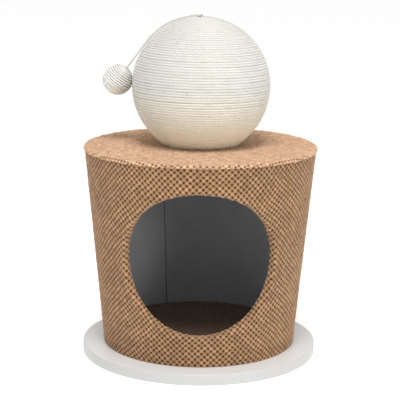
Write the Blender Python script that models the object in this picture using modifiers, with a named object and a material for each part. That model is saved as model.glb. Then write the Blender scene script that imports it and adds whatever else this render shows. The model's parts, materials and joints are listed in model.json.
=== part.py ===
"""Cat scratching ball on a round cave.

A white base board carries a cave: a bent board wall that leans outwards, covered outside with bobbled
plush and lined inside with felt, with a round doorway in front. A lid board closes it, and a hollow ball
wound with sisal rope is bolted on top. A small wound ball hangs from a cord at the ball's top.

The frame: the origin is the centre of the base board's underside, +Z is up, and the doorway faces -Y.
"""
import math

import bmesh
import bpy
from mathutils import Matrix, Vector
from mathutils.kdtree import KDTree

GAP = 0.0003                # clearance between pieces that touch

# Base board
BASE_RADIUS = 0.200
BASE_THICKNESS = 0.018
BASE_EDGE = 0.0015          # radius of the eased edges

# Cave: the plush's outer face is a cone from the base board to the top of the lid
CAVE_HEIGHT = 0.340
CAVE_FOOT_RADIUS = 0.164
CAVE_TOP_RADIUS = 0.196
PLUSH = 0.006               # thickness of the bobbled cover
WALL_BOARD = 0.004
LINING = 0.002
FLOOR_BOARD = 0.009
LID_BOARD = 0.012
RIM_OVERHANG = 0.0015       # the lid's plush stands this far past the wall's
RIM_ROUNDING = 0.005
SEAM_WIDTH = 0.0006
LINING_SEAM_TURN = 22.4     # degrees from the back towards -X

# Doorway: an oval on the flat cloth, which looks round from the front once the wall is bent
DOOR_RADIUS = 0.119         # half its height
DOOR_WIDENING = 1.11        # its width, measured on the cloth, over its height
DOOR_RISE = 0.004           # centre of the doorway above the middle of the wall
DOOR_LIP = 0.004            # plush turned in round the doorway
DOOR_ROUNDING = 0.0034
LIP_ROUNDING = 0.0018       # at the lip's inner end

# Loose mat on the cave's floor
MAT_SIDE = 0.0135
MAT_CROWN = 0.0045          # rise of its middle above its edge
MAT_CLEARANCE = 0.0015

# Fasteners
BASE_SCREWS = 4
BASE_SCREW_CIRCLE = 0.115
BASE_SCREW_LENGTH = 0.024
BASE_SCREW_RADIUS = 0.002
BASE_SCREW_HEAD_RADIUS = 0.004
BASE_SCREW_HEAD_DEPTH = 0.0025
BASE_SCREW_RECESS = 0.0004
WALL_NAILS = 6              # in each of two rings
NAIL_LENGTH = 0.014
NAIL_RADIUS = 0.0009
NAIL_HEAD_RADIUS = 0.0017
NAIL_HEAD_DEPTH = 0.0008
BOLT_RADIUS = 0.004
BOLT_LENGTH = 0.040
BOLT_HEAD_RADIUS = 0.008
BOLT_HEAD_DEPTH = 0.0045
BOLT_SOCKET_RADIUS = 0.003
BOLT_SOCKET_DEPTH = 0.0025
WASHER_RADIUS = 0.012
WASHER_THICKNESS = 0.0016
INSERT_FLANGE_RADIUS = 0.011
INSERT_FLANGE = 0.0015
INSERT_WALL = 0.001
INSERT_BARREL = 0.009

# Scratching ball
BALL_RADIUS = 0.116         # over the rope
BALL_FOOT_RADIUS = 0.061    # flat that stands on the lid
ROPE = 0.0044               # diameter of the sisal rope
TURNS_ABREAST = 3           # turns of rope that lie side by side in one modelled strand
BALL_SHELL = 0.003
SHELL_LAP = 0.006           # height of the lip that joins the two half shells
FOOT_DISC = 0.012

# Toy: a small wound ball on a cord
TOY_RADIUS = 0.026
TOY_ROPE = 0.0035
TOY_TURNS_ABREAST = 2
TOY_BORE = 0.012            # depth of the hole that the cord is glued into
CORD_RADIUS = 0.002
CORD_LEAVES_AT = 53.6       # degrees from the ball's top, where the cord leaves the rope
CORD_TURN = 8.0             # degrees that the cord runs from -X towards the back
CORD_SETTLES_IN = 12.0      # degrees from the knot, where the cord comes down onto the rope
KNOT_RADIUS = 0.0065
KNOT_HEIGHT = 0.005
STOPPER_RADIUS = 0.005
STRAND_GAP = 0.0005         # between neighbouring loops of a modelled strand

# Facets
BASE_STEPS = 60
WALL_STEPS = 48
DOOR_STEPS = 40
MAT_STEPS = 36
BALL_STEPS = 24             # points in a loop of the ball's strand
TOY_STEPS = 16
SMALL_STEPS = 16
HOLE_STEPS = 8
NAIL_STEPS = 6

# Heights
CAVE_TOP = BASE_THICKNESS + CAVE_HEIGHT
WALL_FOOT = BASE_THICKNESS + GAP
WALL_TOP = CAVE_TOP - PLUSH - GAP
FLOOR_TOP = WALL_FOOT + FLOOR_BOARD
MAT_UNDER = FLOOR_TOP + GAP
LID_UNDER = WALL_TOP - LID_BOARD
CEILING_UNDER = LID_UNDER - GAP - LINING

# Depths below the plush's outer face, square to it
WALL_FACE = PLUSH + GAP
WALL_BACK = WALL_FACE + WALL_BOARD
LINING_FACE = WALL_BACK + GAP
LINING_BACK = LINING_FACE + LINING

# The cone of the cave's wall
LEAN = math.atan2(CAVE_TOP_RADIUS - CAVE_FOOT_RADIUS, CAVE_HEIGHT)
CONE_TIP_Z = BASE_THICKNESS - CAVE_FOOT_RADIUS / math.tan(LEAN)
DOOR_Z = (WALL_FOOT + WALL_TOP) / 2 + DOOR_RISE
DOOR_REACH = (DOOR_Z - CONE_TIP_Z) / math.cos(LEAN)     # from the cone's tip to the doorway's centre

# Ball, bolt and cord
BALL_FOOT_Z = CAVE_TOP + GAP
BALL_FOOT_DEPTH = math.sqrt(BALL_RADIUS ** 2 - BALL_FOOT_RADIUS ** 2)
BALL_Z = BALL_FOOT_Z + BALL_FOOT_DEPTH
BOLT_CLEARANCE = BOLT_RADIUS + GAP
WASHER_UNDER = LID_UNDER - GAP - WASHER_THICKNESS
BOLT_SEAT = WASHER_UNDER - GAP
FOOT_DISC_TOP = BALL_FOOT_Z + FOOT_DISC
KNOT_UNDER = BALL_Z + BALL_RADIUS + GAP
KNOT_MIDDLE = KNOT_UNDER + KNOT_HEIGHT / 2
STEM_CLEARANCE = CORD_RADIUS + GAP
CORD_LINE_RADIUS = BALL_RADIUS + GAP + CORD_RADIUS      # of the cord's centre line over the ball

# The toy hangs on the straight end of the cord and leans on the ball
BALL_TO_TOY = BALL_RADIUS + TOY_RADIUS + GAP
PIVOT_TO_TOY = math.sqrt(BALL_TO_TOY ** 2 - CORD_LINE_RADIUS ** 2)
LEAVING = math.radians(CORD_LEAVES_AT)
UP = Vector((0.0, 0.0, 1.0))
AWAY = Vector((-math.cos(math.radians(CORD_TURN)), math.sin(math.radians(CORD_TURN)), 0.0))
PIVOT = CORD_LINE_RADIUS * (math.sin(LEAVING) * AWAY + math.cos(LEAVING) * UP) + BALL_Z * UP
FALL = math.cos(LEAVING) * AWAY - math.sin(LEAVING) * UP            # way that the straight end runs
TOY_CENTRE = PIVOT + PIVOT_TO_TOY * FALL

ASSEMBLY_NAME = "cat_scratching_ball"
CUTTERS_NAME = "cutters"


class Strand:
    """The flat strand that winds a ball: a few turns of rope lying side by side."""

    def __init__(self, outer_radius, rope, turns_abreast):
        pitch = rope * turns_abreast
        self.rope = rope
        self.pitch = pitch
        self.half_width = (pitch - STRAND_GAP) / 2
        self.half_flat = self.half_width - rope / 2
        self.outer_radius = outer_radius
        self.flat_radius = math.sqrt(outer_radius ** 2 - self.half_flat ** 2)
        self.line_radius = self.flat_radius - rope / 2
        self.core_radius = self.flat_radius - rope - GAP

    def first_angle(self):
        """Return the angle from the pole at which the strand clears the cord in its middle."""
        return math.asin((STEM_CLEARANCE + self.half_width) / self.line_radius)

    def last_angle(self, foot_depth):
        """Return the angle from the pole at which the strand still clears a flat below the centre."""
        flat_turn = math.asin(self.half_flat / self.outer_radius)
        flat_limit = math.acos(-foot_depth / self.outer_radius) - flat_turn
        side = math.hypot(self.line_radius, self.half_width)
        side_turn = math.atan2(self.half_width, self.line_radius)
        side_limit = math.acos(-foot_depth / side) - side_turn
        return min(flat_limit, side_limit)

    def loops_between(self, start, end):
        """Return how many loops fit between two angles from the pole."""
        return int(self.line_radius * (end - start) / self.pitch)

    def outline(self):
        """Return the corners of the strand's section, its long way first."""
        thick = self.rope / 2
        return [(-self.half_width, 0), (-self.half_flat, thick), (self.half_flat, thick),
                (self.half_width, 0), (self.half_flat, -thick), (-self.half_flat, -thick)]


BALL_STRAND = Strand(BALL_RADIUS, ROPE, TURNS_ABREAST)
TOY_STRAND = Strand(TOY_RADIUS, TOY_ROPE, TOY_TURNS_ABREAST)
SHELL_OUTER = BALL_STRAND.core_radius
SHELL_INNER = SHELL_OUTER - BALL_SHELL
SHELL_MIDDLE = SHELL_OUTER - BALL_SHELL / 2


def clear_scene():
    """Remove every object of the open scene."""
    for obj in list(bpy.data.objects):
        bpy.data.objects.remove(obj, do_unlink=True)


def new_collection(name):
    """Make a collection in the scene."""
    collection = bpy.data.collections.new(name)
    bpy.context.scene.collection.children.link(collection)
    return collection


def new_material(name, colour, roughness, metallic=0.0):
    """Make a Principled material."""
    material = bpy.data.materials.new(name)
    material.use_nodes = True
    shader = material.node_tree.nodes["Principled BSDF"]
    shader.inputs["Base Color"].default_value = (*colour, 1.0)
    shader.inputs["Roughness"].default_value = roughness
    shader.inputs["Metallic"].default_value = metallic
    material.diffuse_color = (*colour, 1.0)
    return material


def add_part(name, data, material):
    """Put a mesh or a curve into the assembly as a named piece."""
    obj = bpy.data.objects.new(name, data)
    bpy.data.collections[ASSEMBLY_NAME].objects.link(obj)
    data.materials.append(material)
    return obj


def add_tool(name, data):
    """Put a cutter, filler or guide into the cutters' collection, hidden from renders."""
    obj = bpy.data.objects.new(name, data)
    bpy.data.collections[CUTTERS_NAME].objects.link(obj)
    obj.hide_render = True
    obj.display_type = "WIRE"
    return obj


def smooth(mesh, angle=35.0):
    """Shade a mesh smooth except across edges sharper than an angle in degrees."""
    mesh.shade_smooth()
    mesh.set_sharp_from_angle(angle=math.radians(angle))


def finished_mesh(obj):
    """Return an object's mesh with its modifiers or bevel applied and its doubles welded."""
    graph = bpy.context.evaluated_depsgraph_get()
    mesh = bpy.data.meshes.new_from_object(obj.evaluated_get(graph))
    bm = bmesh.new()
    bm.from_mesh(mesh)
    bmesh.ops.remove_doubles(bm, verts=bm.verts, dist=0.00002)
    bm.to_mesh(mesh)
    bm.free()
    smooth(mesh)
    return mesh


def outline_mesh(name, outline, closed):
    """Return a mesh that holds only the outline of a turned shape, as (radius, height) points."""
    mesh = bpy.data.meshes.new(name)
    points = [(radius, 0.0, height) for radius, height in outline]
    edges = [(i, i + 1) for i in range(len(points) - 1)]
    if closed:
        edges.append((len(points) - 1, 0))
    mesh.from_pydata(points, edges, [])
    return mesh


def turn(obj, steps):
    """Turn an outline about Z. It runs down its outer side, so that faces point outwards."""
    screw = obj.modifiers.new("turned", "SCREW")
    screw.steps = steps
    screw.render_steps = steps
    screw.use_merge_vertices = True
    screw.merge_threshold = 0.00002
    screw.use_smooth_shade = True


def turned_part(name, outline, steps, material):
    """Make a turned piece. An outline that starts on the axis is solid, any other is a ring."""
    obj = add_part(name, outline_mesh(name, outline, outline[0][0] > 0), material)
    turn(obj, steps)
    return obj


def turned_mesh(name, outline, steps):
    """Return the finished mesh of a turned shape, for a cutter or a repeated fastener."""
    scratch = add_tool(name, outline_mesh(name, outline, outline[0][0] > 0))
    turn(scratch, steps)
    mesh = finished_mesh(scratch)
    bpy.data.objects.remove(scratch)
    mesh.name = name
    return mesh


def add_fasteners(name, outline, steps, places, material):
    """Put a turned fastener at each place, as objects that share one mesh."""
    mesh = turned_mesh(name, outline, steps)
    mesh.materials.append(material)
    for number, place in enumerate(places, start=1):
        fastener = bpy.data.objects.new(f"{name}_{number}", mesh)
        bpy.data.collections[ASSEMBLY_NAME].objects.link(fastener)
        fastener.matrix_world = place


def add_holes(name, outline, steps, places):
    """Make one cutter that holds a turned hole at each place."""
    hole = turned_mesh(name, outline, steps)
    merged = bmesh.new()
    for place in places:
        one = hole.copy()
        one.transform(place)
        merged.from_mesh(one)
        bpy.data.meshes.remove(one)
    merged.to_mesh(hole)
    merged.free()
    return add_tool(name, hole)


def combine(obj, tool, operation="DIFFERENCE"):
    """Cut a tool out of a piece, or join a filler to it."""
    boolean = obj.modifiers.new(tool.name, "BOOLEAN")
    boolean.operation = operation
    boolean.solver = "EXACT"
    boolean.object = tool


def arc(radius, start, end, count, centre=(0.0, 0.0)):
    """Return points of an arc as (radius, height), with angles in degrees from +Z towards +X."""
    points = []
    for i in range(count + 1):
        angle = math.radians(start + (end - start) * i / count)
        points.append((centre[0] + radius * math.sin(angle), centre[1] + radius * math.cos(angle)))
    return points


def raised(outline, height):
    """Return an outline moved up by a height."""
    return [(x, z + height) for x, z in outline]


def wall_radius(z, depth):
    """Return the radius at a height of the cone that lies a depth below the plush's outer face."""
    return (z - CONE_TIP_Z) * math.tan(LEAN) - depth / math.cos(LEAN)


def bend_to_wall(point):
    """Bend a point of the flat cloth, (across, up, out) from the doorway's centre, to the wall."""
    across, up, out = point
    reach = math.hypot(across, DOOR_REACH + up)
    turned = math.atan2(across, DOOR_REACH + up) / math.sin(LEAN)
    radius = reach * math.sin(LEAN) + out * math.cos(LEAN)
    height = CONE_TIP_Z + reach * math.cos(LEAN) - out * math.sin(LEAN)
    return Vector((radius * math.sin(turned), -radius * math.cos(turned), height))


def doorway_tool(name, outline):
    """Make a tool on the flat cloth, its axis square to it, widen it and bend it to the wall."""
    mesh = turned_mesh(name, outline, DOOR_STEPS)
    for vertex in mesh.vertices:
        across, up, out = vertex.co
        vertex.co = bend_to_wall((DOOR_WIDENING * across, up, out))
    return add_tool(name, mesh)


def straight_doorway(name, radius):
    """Make a plain doorway cutter that passes through every layer of the wall."""
    outside = 3 * PLUSH
    inside = -(LINING_BACK + 3 * PLUSH)
    outline = [(0, outside), (radius, outside), (radius, -PLUSH / 2), (radius, -LINING_BACK),
               (radius, inside), (0, inside)]
    return doorway_tool(name, outline)


def rounded_doorway(name):
    """Make the plush's doorway cutter, flared where the cloth rounds over outside and inside."""
    outside = 3 * PLUSH
    inside = -(LINING_BACK + 3 * PLUSH)
    widest = 0.85 * DOOR_LIP
    outer = min(DOOR_ROUNDING, widest)
    inner = min(LIP_ROUNDING, widest)
    upper = arc(outer, -15, -90, 3, (DOOR_RADIUS + outer, -outer))
    lower = arc(inner, -90, -165, 2, (DOOR_RADIUS + inner, inner - LINING_BACK))
    outline = [(0, outside), (upper[0][0], outside)]
    outline += upper + lower
    outline += [(lower[-1][0], inside), (0, inside)]
    return doorway_tool(name, outline)


def seam_cutter(name, turn_degrees):
    """Make a thin upright blade that opens a seam in a sleeve, turned from the back towards -X."""
    bm = bmesh.new()
    bmesh.ops.create_cube(bm, size=1.0)
    length = CAVE_TOP_RADIUS
    size = Matrix.Diagonal((SEAM_WIDTH, length, 2 * CAVE_HEIGHT, 1.0))
    place = Matrix.Translation((0.0, BASE_RADIUS / 2 + length / 2, CAVE_HEIGHT / 2))
    spin = Matrix.Rotation(math.radians(turn_degrees), 4, "Z")
    bmesh.ops.transform(bm, matrix=spin @ place @ size, verts=bm.verts)
    mesh = bpy.data.meshes.new(name)
    bm.to_mesh(mesh)
    bm.free()
    return add_tool(name, mesh)


def sleeve(name, low, high, face, back, material):
    """Make one layer of the cave's wall, between two heights and two depths."""
    outline = [(wall_radius(high, face), high), (wall_radius(low, face), low),
               (wall_radius(low, back), low), (wall_radius(high, back), high)]
    return turned_part(name, outline, WALL_STEPS, material)


def nail_ring(name, board_low, board_thickness, material, boards):
    """Nail the wall to a board's edge: a ring of nails, and their holes in wall and board."""
    height = board_low + board_thickness / 2
    flat = math.cos(math.pi / WALL_STEPS)       # the middle of a facet lies nearer the axis
    outside = wall_radius(height, WALL_FACE) * flat - GAP
    wall_end = wall_radius(height, WALL_BACK) * flat
    board_end = wall_radius(board_low, WALL_BACK) * flat - GAP
    change = (wall_end + board_end) / 2 - outside
    nail = [(0, 0), (NAIL_HEAD_RADIUS, 0), (NAIL_HEAD_RADIUS, -NAIL_HEAD_DEPTH),
            (NAIL_RADIUS, -NAIL_HEAD_DEPTH), (NAIL_RADIUS, -NAIL_LENGTH), (0, -NAIL_LENGTH)]
    hole = [(0, PLUSH / 2), (NAIL_HEAD_RADIUS + GAP, PLUSH / 2), (NAIL_HEAD_RADIUS + GAP, change),
            (NAIL_RADIUS + GAP, change), (NAIL_RADIUS + GAP, -NAIL_LENGTH - GAP),
            (0, -NAIL_LENGTH - GAP)]
    places = []
    for i in range(WALL_NAILS):
        facet = round(i * WALL_STEPS / WALL_NAILS) + 0.5
        spin = Matrix.Rotation(2 * math.pi * facet / WALL_STEPS, 4, "Z")
        place = Matrix.Translation((outside, 0.0, height)) @ Matrix.Rotation(math.pi / 2, 4, "Y")
        places.append(spin @ place)
    add_fasteners(name, nail, NAIL_STEPS, places, material)
    holes = add_holes(name + "_holes", hole, NAIL_STEPS, places)
    for board in boards:
        combine(board, holes)


def build_base(materials):
    """Make the base board, and return it."""
    edge = BASE_EDGE
    outline = [(0, BASE_THICKNESS)]
    outline += arc(edge, 0, 90, 2, (BASE_RADIUS - edge, BASE_THICKNESS - edge))
    outline += arc(edge, 90, 180, 2, (BASE_RADIUS - edge, edge))
    outline += [(0, 0)]
    return turned_part("base_board", outline, BASE_STEPS, materials["white_board"])


def build_cave(materials):
    """Make the cave's boards, wall, lining and plush, and return the floor board."""
    wall = sleeve("cave_wall", WALL_FOOT, WALL_TOP, WALL_FACE, WALL_BACK, materials["bent_board"])
    lining = sleeve("wall_lining", MAT_UNDER, CEILING_UNDER - GAP, LINING_FACE, LINING_BACK,
                    materials["grey_felt"])
    cover = sleeve("wall_cover", WALL_FOOT, WALL_TOP, 0.0, PLUSH, materials["bobbled_plush"])

    lip = DOOR_RADIUS + DOOR_LIP
    bare = DOOR_RADIUS - DOOR_LIP           # the filler bends closely to the wall outside this
    lip_outline = [(0, -PLUSH / 2), (bare, -PLUSH / 2), (lip, -PLUSH / 2),
                   (lip, -LINING_BACK), (bare, -LINING_BACK), (0, -LINING_BACK)]
    combine(cover, doorway_tool("lip_filler", lip_outline), "UNION")
    combine(cover, rounded_doorway("cover_doorway"))
    board_doorway = straight_doorway("board_doorway", lip + GAP)
    combine(wall, board_doorway)
    combine(lining, board_doorway)
    back_seam = seam_cutter("back_seam", 0.0)
    combine(wall, back_seam)
    combine(cover, back_seam)
    combine(lining, seam_cutter("lining_seam", LINING_SEAM_TURN))

    floor_rim = wall_radius(WALL_FOOT, WALL_BACK) - GAP
    floor_outline = [(0, FLOOR_TOP), (floor_rim, FLOOR_TOP), (floor_rim, WALL_FOOT), (0, WALL_FOOT)]
    floor = turned_part("floor_board", floor_outline, WALL_STEPS, materials["raw_board"])
    lid_rim = wall_radius(LID_UNDER, WALL_BACK) - GAP
    lid_outline = [(lid_rim, WALL_TOP), (lid_rim, LID_UNDER),
                   (BOLT_CLEARANCE, LID_UNDER), (BOLT_CLEARANCE, WALL_TOP)]
    lid = turned_part("lid_board", lid_outline, WALL_STEPS, materials["raw_board"])
    nail_ring("floor_nail", WALL_FOOT, FLOOR_BOARD, materials["steel"], (wall, floor))
    nail_ring("lid_nail", LID_UNDER, LID_BOARD, materials["steel"], (wall, lid))

    ceiling_rim = wall_radius(CEILING_UNDER, WALL_BACK) - GAP
    ceiling_top = LID_UNDER - GAP
    ceiling_hole = WASHER_RADIUS + GAP
    ceiling_outline = [(ceiling_rim, ceiling_top), (ceiling_rim, CEILING_UNDER),
                       (ceiling_hole, CEILING_UNDER), (ceiling_hole, ceiling_top)]
    turned_part("ceiling_lining", ceiling_outline, WALL_STEPS, materials["grey_felt"])

    rim = wall_radius(CAVE_TOP, 0.0) + RIM_OVERHANG
    rounding = min(RIM_ROUNDING, 0.9 * PLUSH)
    top_under = CAVE_TOP - PLUSH
    top_outline = arc(rounding, 0, 90, 3, (rim - rounding, CAVE_TOP - rounding))
    top_outline += [(rim, top_under), (BOLT_CLEARANCE, top_under), (BOLT_CLEARANCE, CAVE_TOP)]
    turned_part("lid_cover", top_outline, WALL_STEPS, materials["bobbled_plush"])
    return floor


def build_mat(materials):
    """Make the loose mat, with its crown and rounded sides."""
    radius = wall_radius(MAT_UNDER, LINING_BACK) * math.cos(math.pi / WALL_STEPS) - MAT_CLEARANCE
    half = MAT_SIDE / 2
    outline = []
    crown_points = 5
    for i in range(crown_points):
        share = i / crown_points
        outline.append(((radius - half) * share, MAT_SIDE + MAT_CROWN * (1 - share ** 2) ** 1.5))
    outline += arc(half, 0, 180, 4, (radius - half, half))
    outline.append((0, 0))
    turned_part("floor_mat", raised(outline, MAT_UNDER), MAT_STEPS, materials["brown_plush"])


def build_base_screws(materials, base, floor):
    """Screw the base board to the cave's floor board from below."""
    shank = BASE_SCREW_RADIUS
    head = BASE_SCREW_HEAD_RADIUS
    depth = BASE_SCREW_HEAD_DEPTH
    length = BASE_SCREW_LENGTH
    screw = [(0, length), (shank, length - 2 * shank), (shank, depth), (head, 0), (0, 0)]
    hole = [(0, length + GAP), (shank + GAP, length + GAP), (shank + GAP, depth), (head + GAP, 0),
            (head + GAP, -depth), (0, -depth)]
    places = []
    for i in range(BASE_SCREWS):
        spin = Matrix.Rotation(2 * math.pi * (i + 0.5) / BASE_SCREWS, 4, "Z")
        places.append(spin @ Matrix.Translation((BASE_SCREW_CIRCLE, 0.0, BASE_SCREW_RECESS)))
    add_fasteners("base_screw", screw, HOLE_STEPS, places, materials["steel"])
    holes = add_holes("base_screw_holes", hole, HOLE_STEPS, places)
    combine(base, holes)
    combine(floor, holes)


def build_ball_shells(materials):
    """Make the hollow ball's two half shells, which lap at the equator."""
    lip_face = SHELL_MIDDLE - GAP / 2
    lap_face = SHELL_MIDDLE + GAP / 2
    inner_at_lap = math.sqrt(SHELL_INNER ** 2 - SHELL_LAP ** 2)
    foot_outer = 180 - math.degrees(math.acos(BALL_FOOT_DEPTH / SHELL_OUTER))
    disc_turn = 180 - math.degrees(math.acos((BALL_FOOT_DEPTH - FOOT_DISC) / SHELL_INNER))
    foot_inner = 180 - math.degrees(math.acos(BALL_FOOT_DEPTH / SHELL_INNER))
    lower = [(lip_face, SHELL_LAP), (lip_face, 0)]
    lower += arc(SHELL_OUTER, 90, foot_outer, 5)
    lower += arc(SHELL_INNER, foot_inner, disc_turn, 1)
    lower += arc(SHELL_INNER, disc_turn, 90, 4)[1:]
    lower += [(inner_at_lap, SHELL_LAP)]
    turned_part("ball_shell_lower", raised(lower, BALL_Z), BALL_STEPS, materials["core_shell"])

    pole_outer = math.degrees(math.asin(STEM_CLEARANCE / SHELL_OUTER))
    pole_inner = math.degrees(math.asin(STEM_CLEARANCE / SHELL_INNER))
    above_lap = math.degrees(math.acos((SHELL_LAP + GAP) / SHELL_INNER))
    upper = arc(SHELL_OUTER, pole_outer, 90, 6)
    upper[-1] = (upper[-1][0], GAP)
    upper += [(lap_face, GAP), (lap_face, SHELL_LAP + GAP)]
    upper += arc(SHELL_INNER, above_lap, pole_inner, 6)
    turned_part("ball_shell_upper", raised(upper, BALL_Z), BALL_STEPS, materials["core_shell"])


def build_ball_mounting(materials):
    """Make the foot disc inside the ball, its threaded insert, and the bolt that holds the ball."""
    bore = INSERT_WALL + BOLT_CLEARANCE + GAP
    seat_clearance = 2 * GAP                # level, on the shell's sloping inside
    low_rim = math.sqrt(SHELL_INNER ** 2 - BALL_FOOT_DEPTH ** 2) - seat_clearance
    high_rim = math.sqrt(SHELL_INNER ** 2 - (BALL_FOOT_DEPTH - FOOT_DISC) ** 2) - seat_clearance
    barrel_end = FOOT_DISC_TOP - INSERT_BARREL
    disc = [(high_rim, FOOT_DISC_TOP), (low_rim, BALL_FOOT_Z), (BOLT_CLEARANCE, BALL_FOOT_Z),
            (BOLT_CLEARANCE, barrel_end), (bore, barrel_end), (bore, FOOT_DISC_TOP)]
    turned_part("ball_foot_disc", disc, BALL_STEPS, materials["raw_board"])

    flange_under = FOOT_DISC_TOP + GAP
    flange_top = flange_under + INSERT_FLANGE
    insert = [(INSERT_FLANGE_RADIUS, flange_top), (INSERT_FLANGE_RADIUS, flange_under),
              (bore - GAP, flange_under), (bore - GAP, barrel_end + GAP),
              (BOLT_CLEARANCE, barrel_end + GAP), (BOLT_CLEARANCE, flange_top)]
    turned_part("threaded_insert", insert, BALL_STEPS, materials["steel"])

    tip = BOLT_SEAT + BOLT_LENGTH
    chamfer = BOLT_RADIUS / 6
    head_end = BOLT_SEAT - BOLT_HEAD_DEPTH
    bolt_outline = [(0, tip), (BOLT_RADIUS - chamfer, tip), (BOLT_RADIUS, tip - chamfer),
                    (BOLT_RADIUS, BOLT_SEAT), (BOLT_HEAD_RADIUS, BOLT_SEAT),
                    (BOLT_HEAD_RADIUS, BOLT_SEAT - BOLT_HEAD_DEPTH / 2),
                    (0.8 * BOLT_HEAD_RADIUS, head_end), (0, head_end)]
    bolt = turned_part("ball_bolt", bolt_outline, BALL_STEPS, materials["steel"])
    socket_top = head_end + BOLT_SOCKET_DEPTH
    socket_end = head_end - BOLT_SOCKET_DEPTH
    socket = [(0, socket_top), (BOLT_SOCKET_RADIUS, socket_top), (BOLT_SOCKET_RADIUS, socket_end),
              (0, socket_end)]
    combine(bolt, add_tool("bolt_socket", turned_mesh("bolt_socket", socket, NAIL_STEPS)))

    washer_top = WASHER_UNDER + WASHER_THICKNESS
    washer = [(WASHER_RADIUS, washer_top), (WASHER_RADIUS, WASHER_UNDER),
              (BOLT_CLEARANCE, WASHER_UNDER), (BOLT_CLEARANCE, washer_top)]
    turned_part("bolt_washer", washer, BALL_STEPS, materials["steel"])


def wind(name, strand, start, end, steps, place, material):
    """Wind a strand round a ball from one angle from the pole to another, as one unbroken tube."""
    section = bpy.data.curves.new(name + "_section", "CURVE")
    corners = strand.outline()
    edge = section.splines.new("POLY")
    edge.points.add(len(corners) - 1)
    edge.use_cyclic_u = True
    for point, (across, thick) in zip(edge.points, corners):
        point.co = (across, thick, 0.0, 1.0)
    curve = bpy.data.curves.new(name, "CURVE")
    curve.dimensions = "3D"
    curve.twist_mode = "Z_UP"
    curve.bevel_mode = "OBJECT"
    curve.bevel_object = add_tool(name + "_section", section)
    curve.use_fill_caps = True
    line = curve.splines.new("POLY")
    count = strand.loops_between(start, end) * steps
    line.points.add(count)
    for i, point in enumerate(line.points):
        angle = start + (end - start) * i / count
        turned = 2 * math.pi * i / steps
        level = strand.line_radius * math.sin(angle)
        height = strand.line_radius * math.cos(angle)
        point.co = (level * math.cos(turned), level * math.sin(turned), height, 1.0)
        point.tilt = angle          # lays the strand flat on the ball
    guide = add_tool(name + "_line", curve)
    bpy.context.view_layer.update()
    mesh = finished_mesh(guide)
    bpy.data.objects.remove(guide)
    print(f"{name}: {count // steps} loops, least gap {1000 * loop_gap(mesh, steps):.2f} mm")
    mesh.transform(place)
    return add_part(name, mesh, material)


def loop_gap(mesh, steps):
    """Return the least distance between corners of the strand that lie about a loop apart."""
    corners = 6
    tree = KDTree(len(mesh.vertices))
    for vertex in mesh.vertices:
        tree.insert(vertex.co, vertex.index)
    tree.balance()
    reach = corners * steps // 2
    least = math.inf
    for vertex in mesh.vertices:
        for _, index, distance in tree.find_n(vertex.co, 5 * corners):
            if abs(index - vertex.index) > reach:
                least = min(least, distance)
    return least


def build_ball_winding(materials):
    """Wind the sisal rope round the ball's shells."""
    start = BALL_STRAND.first_angle()
    end = BALL_STRAND.last_angle(BALL_FOOT_DEPTH - GAP)
    place = Matrix.Translation((0.0, 0.0, BALL_Z))
    wind("ball_rope", BALL_STRAND, start, end, BALL_STEPS, place, materials["sisal"])


def tube(name, stations, material):
    """Make a cord from (point, share of the full radius) stations."""
    curve = bpy.data.curves.new(name, "CURVE")
    curve.dimensions = "3D"
    curve.bevel_depth = CORD_RADIUS
    curve.bevel_resolution = 2
    curve.use_fill_caps = True
    line = curve.splines.new("POLY")
    line.points.add(len(stations) - 1)
    for point, (place, share) in zip(line.points, stations):
        point.co = (*place, 1.0)
        point.radius = share
    return add_part(name, curve, material)


def add_pivot(name, place, parent=None):
    """Add an empty on a joint's axis, which carries what turns about it."""
    pivot = bpy.data.objects.new(name, None)
    bpy.data.collections[ASSEMBLY_NAME].objects.link(pivot)
    pivot.empty_display_size = TOY_RADIUS
    pivot.parent = parent
    pivot.location = place if parent is None else place - parent.matrix_world.translation
    bpy.context.view_layer.update()
    return pivot


def carry(pivot, obj):
    """Hang a piece on a pivot without moving it."""
    obj.parent = pivot
    obj.matrix_parent_inverse = pivot.matrix_world.inverted()


def build_cord_over_ball(materials):
    """Make the knot, its stopper inside the ball, and the cord that lies over the ball."""
    swivel = add_pivot("cord_swivel_axis", Vector((0.0, 0.0, KNOT_MIDDLE)))
    half = KNOT_HEIGHT / 2
    knot = [(0, KNOT_HEIGHT)]
    knot += arc(half, 0, 180, 4, (KNOT_RADIUS - half, half))
    knot += [(0, 0)]
    carry(swivel, turned_part("cord_knot", raised(knot, KNOT_UNDER), SMALL_STEPS, materials["cord"]))

    stem_top = KNOT_UNDER - GAP
    shell_under = BALL_Z + SHELL_INNER - GAP
    stopper_z = shell_under - math.sqrt(STOPPER_RADIUS ** 2 - CORD_RADIUS ** 2)
    entry = math.degrees(math.asin(CORD_RADIUS / STOPPER_RADIUS))
    stopper = [(0, stem_top), (CORD_RADIUS, stem_top)]
    stopper += arc(STOPPER_RADIUS, entry, 180, 5, (0, stopper_z - GAP))
    stopper[-1] = (0, stopper[-1][1])
    carry(swivel, turned_part("cord_stopper", stopper, HOLE_STEPS, materials["cord"]))

    first = math.asin((KNOT_RADIUS + GAP) / CORD_LINE_RADIUS)
    last = LEAVING - (CORD_RADIUS + GAP) / CORD_LINE_RADIUS
    settle = math.radians(CORD_SETTLES_IN)
    lift = KNOT_MIDDLE - BALL_Z - CORD_LINE_RADIUS * math.cos(first)
    count = round(CORD_LINE_RADIUS * (last - first) / (4 * CORD_RADIUS))
    stations = []
    for i in range(count + 1):
        angle = first + (last - first) * i / count
        height = lift * max(0.0, 1 - (angle - first) / settle) ** 2
        radius = CORD_LINE_RADIUS + height
        place = radius * (math.sin(angle) * AWAY + math.cos(angle) * UP) + BALL_Z * UP
        stations.append((place, 1.0))
    carry(swivel, tube("toy_cord_over", stations, materials["cord"]))
    return swivel


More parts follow.
